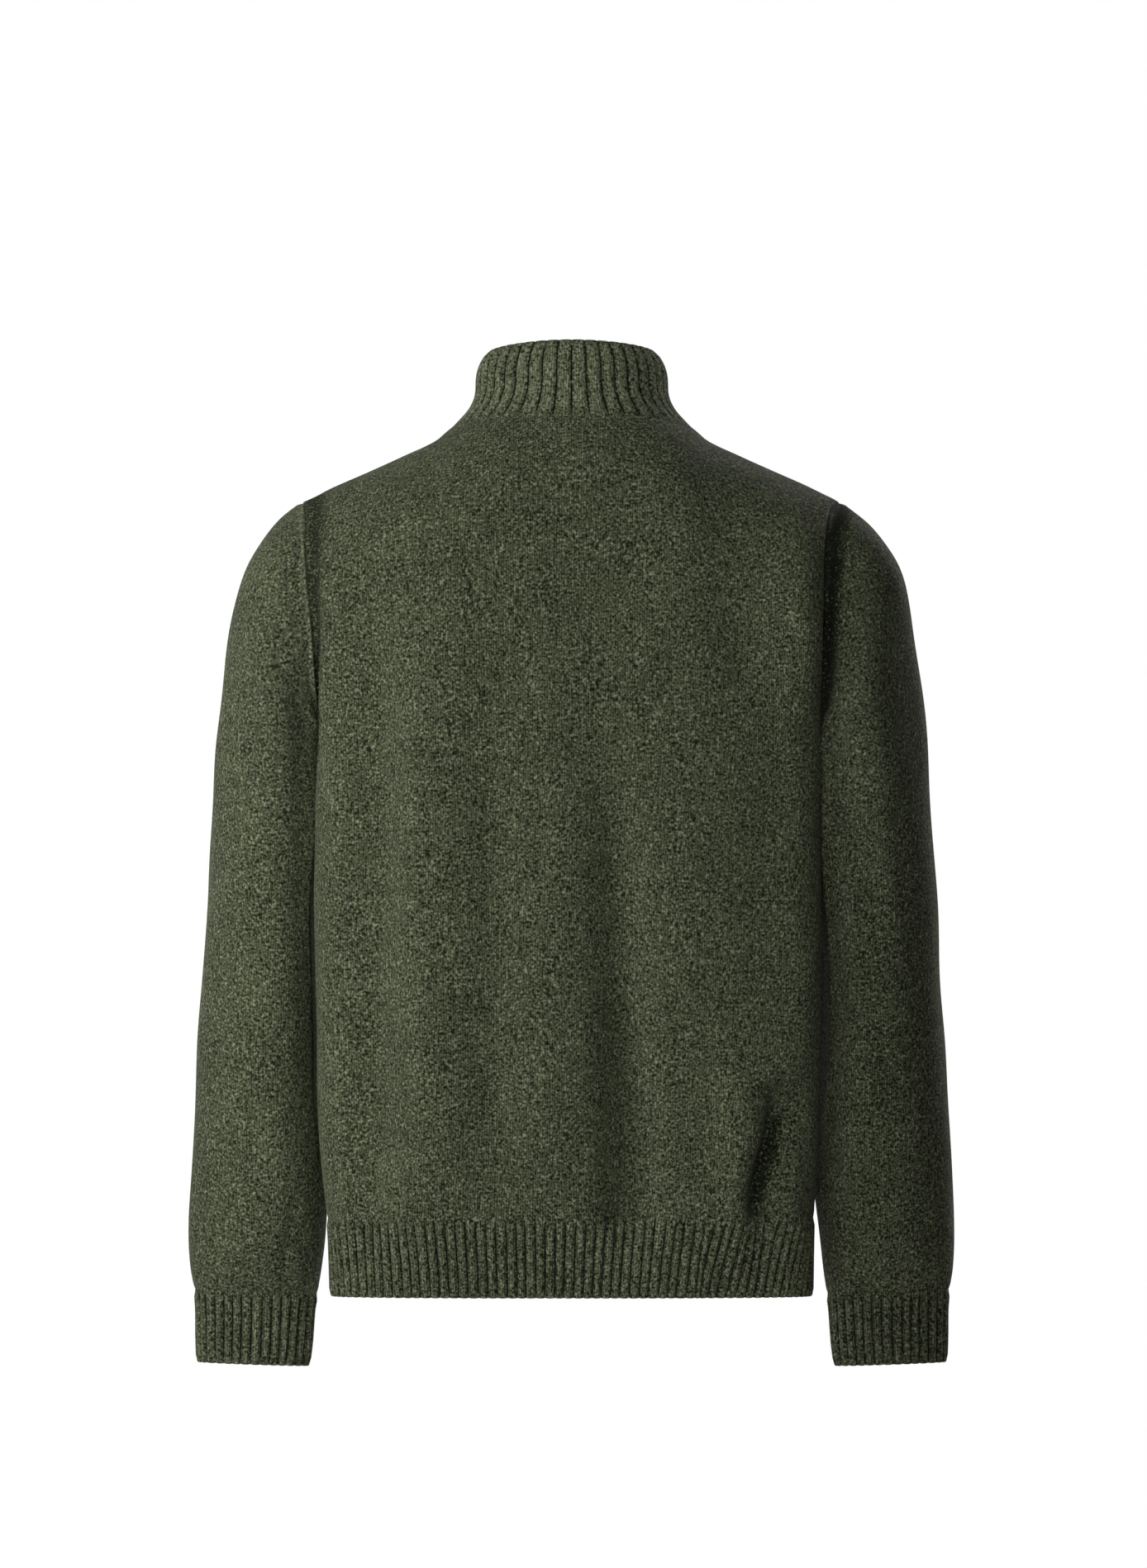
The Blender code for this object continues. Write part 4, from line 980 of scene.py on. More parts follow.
@dataclass(frozen=True)
class MarlKnit:
    """Plain knit in a two-ply marl yarn: V-shaped stitches, each ply dark or light, with pale and black flecks."""

    name: str = "olive_marl_knit"
    wale: float = 0.0037
    course: float = 0.0029
    slant: float = 1.6
    twist: float = 1.5
    depth: float = 0.0009
    ply_tone: float = 0.06
    stitch_tone: float = 0.12
    speck_tone: float = 0.46
    fleck_tone: float = 3.8
    fuzz_tone: float = 0.35
    cloud_tone: float = 0.16
    # The next two set painted shade: in the gaps between the stitches' legs, and from the shade each piece carries on
    # its corners.
    gap_tone: float = 0.30
    sunk_tone: float = 0.30
    sway: float = 0.5
    sway_scale: float = 90
    fuzz_scale: float = 1300
    speck_scale: float = 560
    cloud_scale: float = 22
    ply_lean: float = 2.6
    ply_shift: float = 3.0
    end_curve: float = 3
    height_curve: float = 0.45
    usual_height: float = 0.8
    fuzz_relief: float = 0.6
    speck_relief: float = 0.4
    relief_strength: float = 0.9
    black: Colour = (0.0035, 0.0045, 0.0022)
    dark: Colour = (0.024, 0.029, 0.0135)
    middle: Colour = (0.060, 0.068, 0.037)
    light: Colour = (0.112, 0.123, 0.074)
    pale: Colour = (0.180, 0.197, 0.130)

    def material(self) -> bpy.types.Material:
        """Builds the knit's material."""
        fixed = {
            "Roughness": 0.95,
            "Specular IOR Level": 0.12,
            "Sheen Weight": 0.05,
            "Sheen Roughness": 0.4,
            "Sheen Tint": (0.60, 0.64, 0.46, 1),
        }
        shader = Shader(self.name, fixed)
        place = shader.place()
        # The piece's own painted shade, under 0 a painted highlight, read from its corners.
        sunk = shader.value("ShaderNodeAttribute", {"attribute_name": PAINTED_SHADE}, {}, "Fac")
        u, v = shader.cloth()
        sway = (shader.noise(place, self.sway_scale, 1.0, 0.5) - 0.5) * self.sway
        across = u * (1 / self.wale) + sway
        cell = across.math("FLOOR")
        off = across - cell - 0.5
        lean = off.math("ABSOLUTE")
        row = v * (1 / self.course) - lean * (2 * self.slant) + sway
        course = row.math("FLOOR")
        along = row - course
        leg = (1 - (lean * 4 - 1) ** 2).math("MAXIMUM", 0.0)
        ends = 1 - (along * 2 - 1).math("ABSOLUTE") ** self.end_curve
        height = (leg * ends).math("MAXIMUM", 0.0) ** self.height_curve
        key = shader.node("ShaderNodeCombineXYZ", {}, {0: cell, 1: course, 2: off.math("GREATER_THAN", 0.0)})
        chance = shader.node("ShaderNodeTexWhiteNoise", {"noise_dimensions": "3D"}, {"Vector": key.outputs[0]})
        stitch = Value(shader, chance.outputs["Value"])
        ply = ((along * self.twist + lean * self.ply_lean + stitch * self.ply_shift) * (2 * math.pi)).math("SINE")
        fuzz = shader.noise(place, self.fuzz_scale, 1.0, 0.6) - 0.5
        speck = shader.noise(place, self.speck_scale, 0.0, 0.5) - 0.5
        cloud = shader.noise(place, self.cloud_scale, 3.0, 0.6) - 0.5
        tone = ply * self.ply_tone + (stitch - 0.5) * self.stitch_tone + speck * self.speck_tone + 0.5
        tone = tone + speck * speck.math("ABSOLUTE") * self.fleck_tone
        tone = tone + fuzz * self.fuzz_tone + cloud * self.cloud_tone
        # Painted shade: darker in the gaps between the stitches' legs and lighter on their tops, and darker by the
        # shade each piece carries on its corners, lighter where that is under 0.
        tone = tone + (height - self.usual_height) * self.gap_tone - sunk * self.sunk_tone
        dark, light = ((0.14, self.black), (0.35, self.dark)), ((0.73, self.light), (1.00, self.pale))
        shader.colour(tone, *dark, (0.54, self.middle), *light)
        relief = height + fuzz * self.fuzz_relief + speck * self.speck_relief
        shader.bump(relief, self.depth, self.relief_strength)
        return shader.material


@dataclass(frozen=True)
class WovenTape:
    """The zip's tapes: a tight herringbone weave."""

    name: str = "olive_zip_tape"
    dark: Colour = (0.016, 0.019, 0.011)
    light: Colour = (0.050, 0.058, 0.034)
    rib: float = 0.0011
    thread_tone: float = 0.3
    wale_tone: float = 0.12
    depth: float = 0.0003

    def material(self) -> bpy.types.Material:
        """Builds the tape's material."""
        shader = Shader(self.name, {"Roughness": 0.8, "Specular IOR Level": 0.3, "Sheen Weight": 0.15})
        across, along = shader.cloth()
        bend = (across * (1 / (4 * self.rib))).math("PINGPONG", 1.0)
        thread = ((along * (1 / self.rib) + bend * 2.0) * (2 * math.pi)).math("SINE")
        wale = ((across * (1 / self.rib)) * (2 * math.pi)).math("COSINE")
        tone = thread * self.thread_tone + wale * self.wale_tone + 0.5
        shader.colour(tone, (0.1, self.dark), (0.9, self.light))
        shader.bump(tone, self.depth, 0.8)
        return shader.material


@dataclass(frozen=True)
class ZipMetal:
    """Dark plated metal, a little brushed and worn."""

    name: str = "dark_zip_metal"
    plated: Colour = (0.115, 0.110, 0.098)
    worn: Colour = (0.270, 0.255, 0.215)
    brush_scale: float = 4000
    brush_stretch: tuple[float, float, float] = (1, 1, 0.15)
    wear_scale: float = 300
    depth: float = 0.00004
    smoothest: float = 0.24
    brushed_roughness: float = 0.2
    worn_roughness: float = 0.15

    def material(self) -> bpy.types.Material:
        """Builds the metal's material."""
        shader = Shader(self.name, {"Metallic": 1.0})
        place = shader.place()
        stretched = shader.node("ShaderNodeMapping", {}, {"Vector": place, "Scale": self.brush_stretch}).outputs[0]
        brushed = shader.noise(stretched, self.brush_scale, 2.0, 0.6)
        wear = shader.noise(place, self.wear_scale, 4.0, 0.6)
        shader.colour(wear, (0.35, self.plated), (0.75, self.worn))
        rough = brushed * self.brushed_roughness + wear * self.worn_roughness + self.smoothest
        shader.set("Roughness", rough)
        shader.bump(brushed, self.depth, 0.5)
        return shader.material


@dataclass(frozen=True)
class PaleFloor:
    """The studio's floor: pale and matt."""

    name: str = "pale_floor"
    darker: Colour = (0.80, 0.80, 0.80)
    paler: Colour = (0.86, 0.86, 0.86)
    cloud_scale: float = 1.5

    def material(self) -> bpy.types.Material:
        """Builds the floor's material."""
        shader = Shader(self.name, {"Roughness": 0.9, "Specular IOR Level": 0.2})
        cloud = shader.noise(shader.place(), self.cloud_scale, 2.0, 0.5)
        shader.colour(cloud, (0.0, self.darker), (1.0, self.paler))
        return shader.material


# ---------------------------------------------------------------- the garment's pieces
@dataclass
class Piece:
    """A finished piece of the garment and what it stands for."""

    obj: bpy.types.Object
    node: str
    slot: str
    body: str = "root"

    def place(self, material: bpy.types.Material) -> bpy.types.Object:
        """Gives the piece its material and body, and hides the imported part that it stands for."""
        self.obj.data.materials.clear()
        self.obj.data.materials.append(material)
        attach(self.obj, self.body)
        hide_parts(self.node)
        LOG.info("%s: %d faces, for %s", self.obj.name, len(self.obj.data.polygons), self.node)
        return self.obj


@dataclass(frozen=True)
class Cut:
    """The flat size that a piece is knitted or cut to, and the piece that it hangs from."""

    width: float
    length: float
    area: float
    hangs_from: str | None


@dataclass
class Body:
    """The back and the two fronts, with their hem ribs."""

    form: BodyForm
    creasing: Creasing
    drape: Drape
    back: Sheet = field(init=False)
    fronts: dict[Side, Sheet] = field(init=False)
    hems: dict[str, Sheet] = field(init=False)

    def __post_init__(self) -> None:
        """Shapes the sheets."""
        left, right = (self.form.half_panel(side, Half.BACK) for side in Side)
        whole = np.concatenate([left[:, ::-1], right[:, 1:]], axis=1)
        creases = BACK_CREASES + BACK_FINE_CREASES
        creased = self.creasing.creased(whole, creases, (Edge.START, Edge.END))
        self.back = Sheet("back", self.drape.around_body(creased))
        self.fronts = {side: self.front(side) for side in Side}
        self.hems = {"back": Sheet("hem_rib_back", self.hem(self.back.points, Half.BACK, None))}
        for side, front in self.fronts.items():
            name = side.name.lower()
            self.hems[name] = Sheet(f"hem_rib_front_{name}", self.hem(front.points, Half.FRONT, side))

    def front(self, side: Side) -> Sheet:
        """One front, with its columns running against the clock seen from above."""
        panel = self.form.half_panel(side, Half.FRONT)
        creases = FRONT_CREASES + FRONT_FINE_CREASES
        if side is Side.RIGHT:
            panel = panel[:, ::-1]
        seams = (Edge.END,) if side is Side.LEFT else (Edge.START,)
        creased = self.creasing.creased(panel, creases, seams)
        return Sheet(f"front_{side.name.lower()}", self.drape.around_body(creased))

    def hem(self, panel: Grid, half: Half, side: Side | None) -> Grid:
        """The rib below a panel. It takes the panel's creases half way down.

        Args:
            panel: the panel's points.
            half: back or front.
            side: which front, or None for the whole back.

        Returns:
            The rib's points.
        """
        up = np.linspace(0, 1, HEM_STEPS + 1)
        rows = []
        for z in self.form.hem_bottom_z + self.form.hem_height * up:
            if side is None:
                left, right = (self.form.level(z, each, half) for each in Side)
                rows.append(np.concatenate([left[::-1], right[1:]]))
            else:
                row = self.form.level(z, side, half)
                rows.append(row if side is Side.LEFT else row[::-1])
        pushed = panel[0] - rows[-1]
        return np.array([row + pushed * share for row, share in zip(rows, up**2)])


@dataclass
class Arms:
    """The two sleeves and their cuffs."""

    body: Body
    creasing: Creasing
    power: float = 2.2
    settles: float = 9.0
    clearance: float = 0.0018
    right_tuck: float = 0.0052
    untucked_rings: int = 2
    touching: float = 0.0001
    settled: float = 0.03
    leaves_z: float = -0.585
    leaves_over: float = 0.030
    joins_over: float = 0.003
    touch_share: float = 0.5
    cuff_settles: float = 3.0
    sleeves: dict[Side, Sheet] = field(init=False)
    cuffs: dict[Side, Sheet] = field(init=False)

    def __post_init__(self) -> None:
        """Shapes the sheets."""
        self.sleeves = {}
        self.cuffs = {}
        for side in Side:
            name, turned = side.name.lower(), side is Side.RIGHT
            points = self.sleeve(side)
            self.sleeves[side] = Sheet(f"sleeve_{name}", points, closed=True, turned=turned)
            self.cuffs[side] = Sheet(f"cuff_{name}", self.cuff(points, side), closed=True, turned=turned)

    @staticmethod
    def frame(rings: tuple[Ring, ...], at: float, tuck: float) -> tuple[Grid, float, Grid, float]:
        """A ring's centre, half length, the direction of that length, and half depth.

        Args:
            rings: the table.
            at: which ring, or a place between two.
            tuck: how much closer to the middle the ring's inner point lies.

        Returns:
            The four values.
        """
        known = np.arange(len(rings), dtype=float)
        read = {name: float(smooth(at, known, column(rings, name))) for name in Ring.__dataclass_fields__}
        outer = np.array([read["outer_x"], read["centre_y"], read["outer_z"]])
        inner = np.array([read["inner_x"] - tuck, read["centre_y"], read["inner_z"]])
        along = (outer - inner) / 2
        return (outer + inner) / 2, np.linalg.norm(along), along / np.linalg.norm(along), read["depth"] / 2

    @staticmethod
    def oval(centre: Grid, half: float, direction: Grid, depth: float, along: Grid, across: Grid) -> Grid:
        """A ring's points, from their shares of its half length and half depth."""
        return centre + np.outer(along * half, direction) + np.outer(across * depth, DEPTH_AXIS)

    def loop(self, count: int) -> tuple[Grid, Grid]:
        """Even turns round a ring from its innermost point over the back: shares along and across it."""
        angle = np.arange(count) / count * 2 * math.pi
        along = -np.sign(np.cos(angle)) * np.abs(np.cos(angle)) ** (2 / self.power)
        return along, np.sign(np.sin(angle)) * np.abs(np.sin(angle)) ** (2 / self.power)

    def armhole(self, side: Side) -> Grid:
        """The armhole seam from the underarm up the back and down the front."""
        left = side is Side.LEFT
        back = self.body.back.points[CHEST_ROWS:, 0 if left else -1]
        front = self.body.fronts[side].points[CHEST_ROWS:, -1 if left else 0]
        return np.concatenate([back, front[-2:0:-1]])

    def beside_body(self, rings: Grid, side: Side) -> Grid:
        """Pushes the points of a sleeve out of the body's side, below the underarm."""
        heights = column(TORSO, "z")
        x, y, z = np.abs(rings[..., 0]), rings[..., 1], rings[..., 2]
        half_width = smooth(z, heights, column(TORSO, side.name.lower()))
        back, front = (smooth(z, heights, column(TORSO, name)) for name in ("back", "front"))
        depth = np.where(y > 0, back, front)
        power = np.where(y > 0, self.body.form.power_back, self.body.form.power_front)
        edge = half_width * (1 - np.minimum(1, np.abs(y) / depth) ** power) ** (1 / power)
        clear = np.where(z < self.body.form.chest_z, edge + self.clearance, 0)
        rings[..., 0] = np.maximum(x, clear) * side.value
        return rings

    def against_body(self, rings: Grid, side: Side) -> Grid:
        """Moves the inner part of each ring, down to where the sleeve leaves the body, up against the body."""
        seam = self.body.back.points[: CHEST_ROWS + 1, 0 if side is Side.LEFT else -1]
        x = np.abs(rings[..., 0])
        nearest = x.argmin(axis=1)
        row = np.arange(len(rings))
        z = rings[row, nearest, 2]
        gap = x[row, nearest] - np.interp(z, seam[:, 2], np.abs(seam[:, 0])) - self.touching
        below_chest = ease((self.body.form.chest_z - z) / self.joins_over)
        moved = gap * ease((z - self.leaves_z) / self.leaves_over) * below_chest
        share = (x - x.min(axis=1, keepdims=True)) / np.ptp(x, axis=1)[:, None]
        rings[..., 0] -= moved[:, None] * (1 - ease(share / self.touch_share)) * side.value
        return rings

    def sleeve(self, side: Side) -> Grid:
        """A sleeve's rings from the armhole down. The armhole's own shape settles into an oval."""
        mirror = np.array([side.value, 1.0, 1.0])
        loop = self.armhole(side) * mirror
        first_tuck = self.right_tuck if side is Side.RIGHT else 0.0
        centre, half, direction, depth = self.frame(SLEEVE, 0, first_tuck)
        first = [(loop - centre) @ direction / half, (loop[:, 1] - centre[1]) / depth]
        shift = loop - centre - np.outer(first[0] * half, direction) - np.outer(first[1] * depth, DEPTH_AXIS)
        last = len(SLEEVE) - 1
        rings = [loop]
        for at in np.linspace(0, last, SLEEVE_ROWS + 1)[1:]:
            tuck = first_tuck * (1 - ease(at / (last - self.untucked_rings)))
            share = ease(at / self.settles)
            turns = (mix(a, b, share) for a, b in zip(first, self.loop(len(loop))))
            ring = self.oval(*self.frame(SLEEVE, at, tuck), *turns)
            rings.append(ring + shift * (1 - ease(2 * at / self.settles)))
        rings = np.array(rings) * mirror
        push = self.creasing.sleeve_push(*rings.shape[:2], SLEEVE_CREASES + SLEEVE_FINE_CREASES)
        facing = outward(rings, closed=True) * side.value
        loose = ease(lengths(rings, 0) / self.settled) * self.body.drape.push(rings)
        rings[1:] = self.beside_body(rings[1:] + facing[1:] * (push + loose)[1:, :, None], side)
        return self.against_body(rings, side)

    def cuff(self, sleeve: Grid, side: Side) -> Grid:
        """The cuff's rings, from the sleeve's last ring down."""
        mirror = np.array([side.value, 1.0, 1.0])
        turns = self.loop(sleeve.shape[1])
        places = np.linspace(0, len(CUFF) - 1, CUFF_STEPS + 1)
        plain = [self.oval(*self.frame(CUFF, at, 0), *turns) * mirror for at in places]
        pushed = sleeve[-1] - plain[0]
        down = np.linspace(0, 1, CUFF_STEPS + 1)
        return np.array([ring + pushed * (1 - ease(share * self.cuff_settles)) for ring, share in zip(plain, down)])


@dataclass
class Collar:
    """The standing collar, from the left front edge round the back to the right."""

    body: Body
    waist_x: float = 0.0725
    waist_back_y: float = 0.053
    waist_front_y: float = -0.064
    top_x: float = 0.063
    top_back: tuple[float, float] = (0.049, 0.0698)
    top_front: tuple[float, float] = (-0.059, 0.034)
    top_side_z: float = 0.0618
    waist_at: float = 0.55
    flare_below: float = 2.2
    turn_above: float = 2.5
    dip: float = 1.25

    def ring_point(self, turn: float, half: Half, side: Side, x_reach: float, points: dict[Half, tuple]) -> Grid:
        """A point of one of the collar's rings; turn runs from the centre (0) to the side (1)."""
        angle = turn * math.pi / 2
        y, z = points[half]
        start = self.body.form.centre_x(half)
        x = start + (x_reach - start) * math.sin(angle)
        return np.array([x * side.value, y * math.cos(angle), mix(self.top_side_z, z, math.cos(angle) ** self.dip)])

    def sheet(self) -> Sheet:
        """Shapes the collar on the panels' neck points."""
        fronts = self.body.fronts
        base = np.concatenate(
            [
                fronts[Side.LEFT].points[-1, : NECK_COLUMNS + 1],
                self.body.back.points[-1, SHOULDER_COLUMNS + 1 : -SHOULDER_COLUMNS],
                fronts[Side.RIGHT].points[-1, SHOULDER_COLUMNS + 1 :],
            ]
        )
        out = np.arange(NECK_COLUMNS + 1) / NECK_COLUMNS
        turns = [(t, Half.FRONT, Side.LEFT) for t in out] + [(t, Half.BACK, Side.LEFT) for t in out[-2::-1]]
        turns += [(t, Half.BACK, Side.RIGHT) for t in out[1:]] + [(t, Half.FRONT, Side.RIGHT) for t in out[-2::-1]]
        waists = {Half.BACK: (self.waist_back_y, 0.0), Half.FRONT: (self.waist_front_y, 0.0)}
        tops = {Half.BACK: self.top_back, Half.FRONT: self.top_front}
        rows_up = np.linspace(0, 1, COLLAR_STEPS + 1)
        points = np.zeros((len(rows_up), len(base), 3))
        for j, place in enumerate(turns):
            waist = self.ring_point(*place, self.waist_x, waists)
            top = self.ring_point(*place, self.top_x, tops)
            below = np.clip(1 - rows_up / self.waist_at, 0, 1)[:, None] ** self.flare_below
            above = np.clip((rows_up - self.waist_at) / (1 - self.waist_at), 0, 1)[:, None] ** self.turn_above
            points[:, j] = mix(waist, base[j], below) + (top - waist) * above
            points[:, j, 2] = mix(base[j, 2], top[2], rows_up)
        return Sheet("collar", points)


@dataclass
class Knitting:
    """Turns the sheets into walls of plain knit and rib."""

    wall: Wall
    # Painted shade in the seams' grooves, a dark band of painted shade in the left armhole's valley on the body, and
    # a black band of painted shadow beside the right armhole on the sleeve; a painted highlight along the ridge
    # beside the left armhole on the sleeve.
    plain_seam: SeamRelief = SeamRelief()
    left_armhole_body: SeamRelief = SeamRelief(
        groove=0.0, swell=-0.0034, swell_at=0.0095, swell_width=0.0080, seam_shade=0.0, valley_shade=0.9
    )
    left_armhole_sleeve: SeamRelief = SeamRelief(
        groove=0.0, swell=0.0024, swell_at=0.0024, swell_width=0.0022, rise=0.0008, seam_shade=-0.3, valley_shade=-0.3
    )
    right_armhole_body: SeamRelief = SeamRelief(
        groove=0.0004, swell=0.0016, swell_at=0.0036, swell_width=0.0070, rise=0.0015, seam_shade=0.2
    )
    right_armhole_sleeve: SeamRelief = SeamRelief(
        groove=0.0004, swell=-0.0054, swell_at=0.0085, swell_width=0.0075, seam_shade=1.4, valley_shade=1.6
    )
    ribbing: Ribbing = Ribbing()
    collar_ribbing: Ribbing = Ribbing(
        height=0.0011, groove=0.0010, crown=4.5, wales=3.0, unevenness=0.0, groove_shade=1.9, crown_light=0.45
    )
    back_ribs: int = 61
    front_ribs: int = 30
    cuff_ribs: int = 31
    collar_rib_columns: int = 5
    rib_start: float = 0.006
    collar_rib_start: float = 0.011
    hem_seam: float = 0.4
    side_seam: float = 0.25
    edge_fade: float = 0.35
    edge_length: float = 0.005
    hem_lean: float = 2.6
    armhole_fade: float = 0.022
    deepest_shade: float = 1.7
    underarm_rows: int = 12
    shoulder_over: float = 0.02
    sleeve_back: tuple[float, float] = (0.04, 0.51)
    sleeve_back_over: tuple[float, float] = (0.08, 0.04)
    cap_flat_from: float = 0.50
    cap_flat_over: float = 0.07
    underarm_start: float = 0.004
    lean_from: float = 0.35
    lean_over: float = 0.4
    lean_end: float = 0.04

    @staticmethod
    def crease_shade(points: Grid) -> Grid:
        """How much painted shadow each point of the back gets in its sharp lower crease."""
        down, known = -points[..., 2], -column(CREASE_SHADE, "z")
        values = [column(CREASE_SHADE, name) for name in ("x", "half_width", "shade")]
        centre, half_width, shade = (np.interp(down, known, each) for each in values)
        return np.exp(-(((points[..., 0] - centre) / half_width) ** 2)) * shade

    def faces(self, sheet: Sheet, rise: Grid) -> tuple[Grid, Grid]:
        """The outer and inner face of a plain piece. Ridges leave the inner face alone, and hollows push it in."""
        outer = sheet.points + sheet.normals * rise[..., None]
        return outer, sheet.points + sheet.normals * (np.minimum(rise, 0) - KNIT_WALL)[..., None]

    def panel(self, sheet: Sheet, sides: dict[Edge, tuple[SeamRelief, SeamRelief]]) -> bpy.types.Object:
        """A body panel in plain knit.

        Args:
            sheet: the panel.
            sides: for its side edges, START or END, the relief below the underarm and the relief above it.

        Returns:
            The wall.
        """
        across, along = sheet.across(), sheet.along()
        distance = {Edge.START: across, Edge.END: across[:, -1:] - across}
        above = ease((np.arange(len(along)) - CHEST_ROWS) / self.underarm_rows + 0.5)[:, None]
        column_share = np.arange(across.shape[1])[None] / (across.shape[1] - 1)
        shoulder = SHOULDER_COLUMNS / (across.shape[1] - 1)
        on_shoulder = np.zeros_like(column_share)
        for edge in sides:
            share = column_share if edge is Edge.START else 1 - column_share
            on_shoulder = np.maximum(on_shoulder, ease((shoulder - share) / self.shoulder_over + 0.5))
        down = along[-1:] - along
        rise = self.plain_seam.push(along) * self.hem_seam + self.plain_seam.push(down) * on_shoulder
        sunk = self.plain_seam.sunk(along) * self.hem_seam + self.plain_seam.sunk(down) * on_shoulder
        for edge, (side, armhole) in sides.items():
            beside = armhole.push(distance[edge]) * ease(down / self.armhole_fade)
            rise = rise + mix(side.push(distance[edge]) * self.side_seam, beside, above)
            sunk = sunk + mix(side.sunk(distance[edge]), armhole.sunk(distance[edge]), above)
        # Painted shadow in the back's sharp lower crease.
        if sheet.name == "back":
            sunk = sunk + self.crease_shade(sheet.points)
        middle = across[:, across.shape[1] // 2][:, None] if len(sides) == 2 else 0
        flat = np.stack([across - middle, along, np.minimum(sunk, self.deepest_shade)], axis=-1)
        return self.wall.build("knit_" + sheet.name, *self.faces(sheet, rise), flat, False, False, ())

    def sleeve(self, sheet: Sheet) -> bpy.types.Object:
        """A sleeve in plain knit, with its seam under the arm."""
        across, along = sheet.across(), sheet.along()
        turn = np.linspace(0, 1, across.shape[1])[None]
        (start, end), (start_over, end_over) = self.sleeve_back, self.sleeve_back_over
        at_back = ease((turn - start) / start_over) * ease((end - turn) / end_over)
        below_cap = ease((self.cap_flat_from - turn) / self.cap_flat_over)
        beside = self.right_armhole_sleeve if sheet.name.endswith("right") else self.left_armhole_sleeve
        underarm = np.minimum(across, across[:, -1:] - across)
        up = along[-1:] - along
        rise = mix(self.plain_seam.push(along), beside.push(along), at_back * below_cap)
        rise += self.plain_seam.push(underarm) * self.side_seam * ease(along / self.underarm_start)
        rise += self.plain_seam.push(up) * self.hem_seam
        sunk = mix(self.plain_seam.sunk(along), beside.sunk(along), at_back)
        sunk += self.plain_seam.sunk(underarm) + self.plain_seam.sunk(up) * self.hem_seam
        flat = np.stack([across - across[:, -1:] / 2, up, np.minimum(sunk, self.deepest_shade)], axis=-1)
        faces = self.faces(sheet, rise[:, :-1])
        return self.wall.build("knit_" + sheet.name, *faces, flat, True, sheet.turned, ())

    def rib(
        self, sheet: Sheet, grooves: Grid, ribbing: Ribbing, seam: Edge, start: float, lean: float = 0.0
    ) -> bpy.types.Object:
        """A piece in rib.

        Args:
            sheet: the plain sheet.
            grooves: fractional columns of its grooves.
            ribbing: how the ribs look.
            seam: its sewn edge, FIRST or LAST. The other edge is open and rounded.
            start: how far from the seam the ribs reach their full height.
            lean: by how many columns the ribs lean at the open edge, growing towards the last column.

        Returns:
            The wall.
        """
        along = sheet.along().mean(axis=1)
        distance = along if seam is Edge.FIRST else along[-1] - along
        to_edge = distance.max() - distance
        fade = ease(distance / start) * mix(self.edge_fade, 1.0, ease(to_edge / self.edge_length))
        ribs = len(grooves) - 1
        share = np.linspace(0, 1, ribs * ribbing.steps + 1)[None]
        leaning = ease((share - self.lean_from) / self.lean_over) * ease((1 - share) / self.lean_end)
        sideways = -lean * (distance / distance.max())[:, None] * leaning
        outer, inner, flat = ribbing.raised(sheet, grooves, fade, sideways)
        open_edge = Edge.LAST if seam is Edge.FIRST else Edge.FIRST
        return self.wall.build("rib_" + sheet.name, outer, inner, flat, sheet.closed, sheet.turned, (open_edge,))

    def pieces(self, body: Body, arms: Arms, collar: Sheet) -> list[Piece]:
        """Knits all of the garment's sheets."""
        left = (self.plain_seam, self.left_armhole_body)
        right = (self.plain_seam, self.right_armhole_body)
        made = [Piece(self.panel(body.back, {Edge.START: left, Edge.END: right}), "back", "knit")]
        for side, edge in ((Side.LEFT, Edge.END), (Side.RIGHT, Edge.START)):
            name, cuff = side.name.lower(), arms.cuffs[side]
            made.append(Piece(self.panel(body.fronts[side], {edge: left}), f"front_{name}", "knit"))
            made.append(Piece(self.sleeve(arms.sleeves[side]), f"sleeve_{name}", "knit"))
            grooves = self.ribbing.grooves(cuff, self.cuff_ribs)
            made.append(Piece(self.rib(cuff, grooves, self.ribbing, Edge.FIRST, self.rib_start), cuff.name, "knit"))
        for name, hem in body.hems.items():
            ribs, lean = (self.back_ribs, self.hem_lean) if name == "back" else (self.front_ribs, 0.0)
            grooves = self.ribbing.grooves(hem, ribs)
            rib = self.rib(hem, grooves, self.ribbing, Edge.LAST, self.rib_start, lean)
            made.append(Piece(rib, hem.name, "knit"))
        grooves = np.arange(0, collar.points.shape[1], self.collar_rib_columns, dtype=float)
        rib = self.rib(collar, grooves, self.collar_ribbing, Edge.FIRST, self.collar_rib_start)
        return [*made, Piece(rib, collar.name, "knit")]


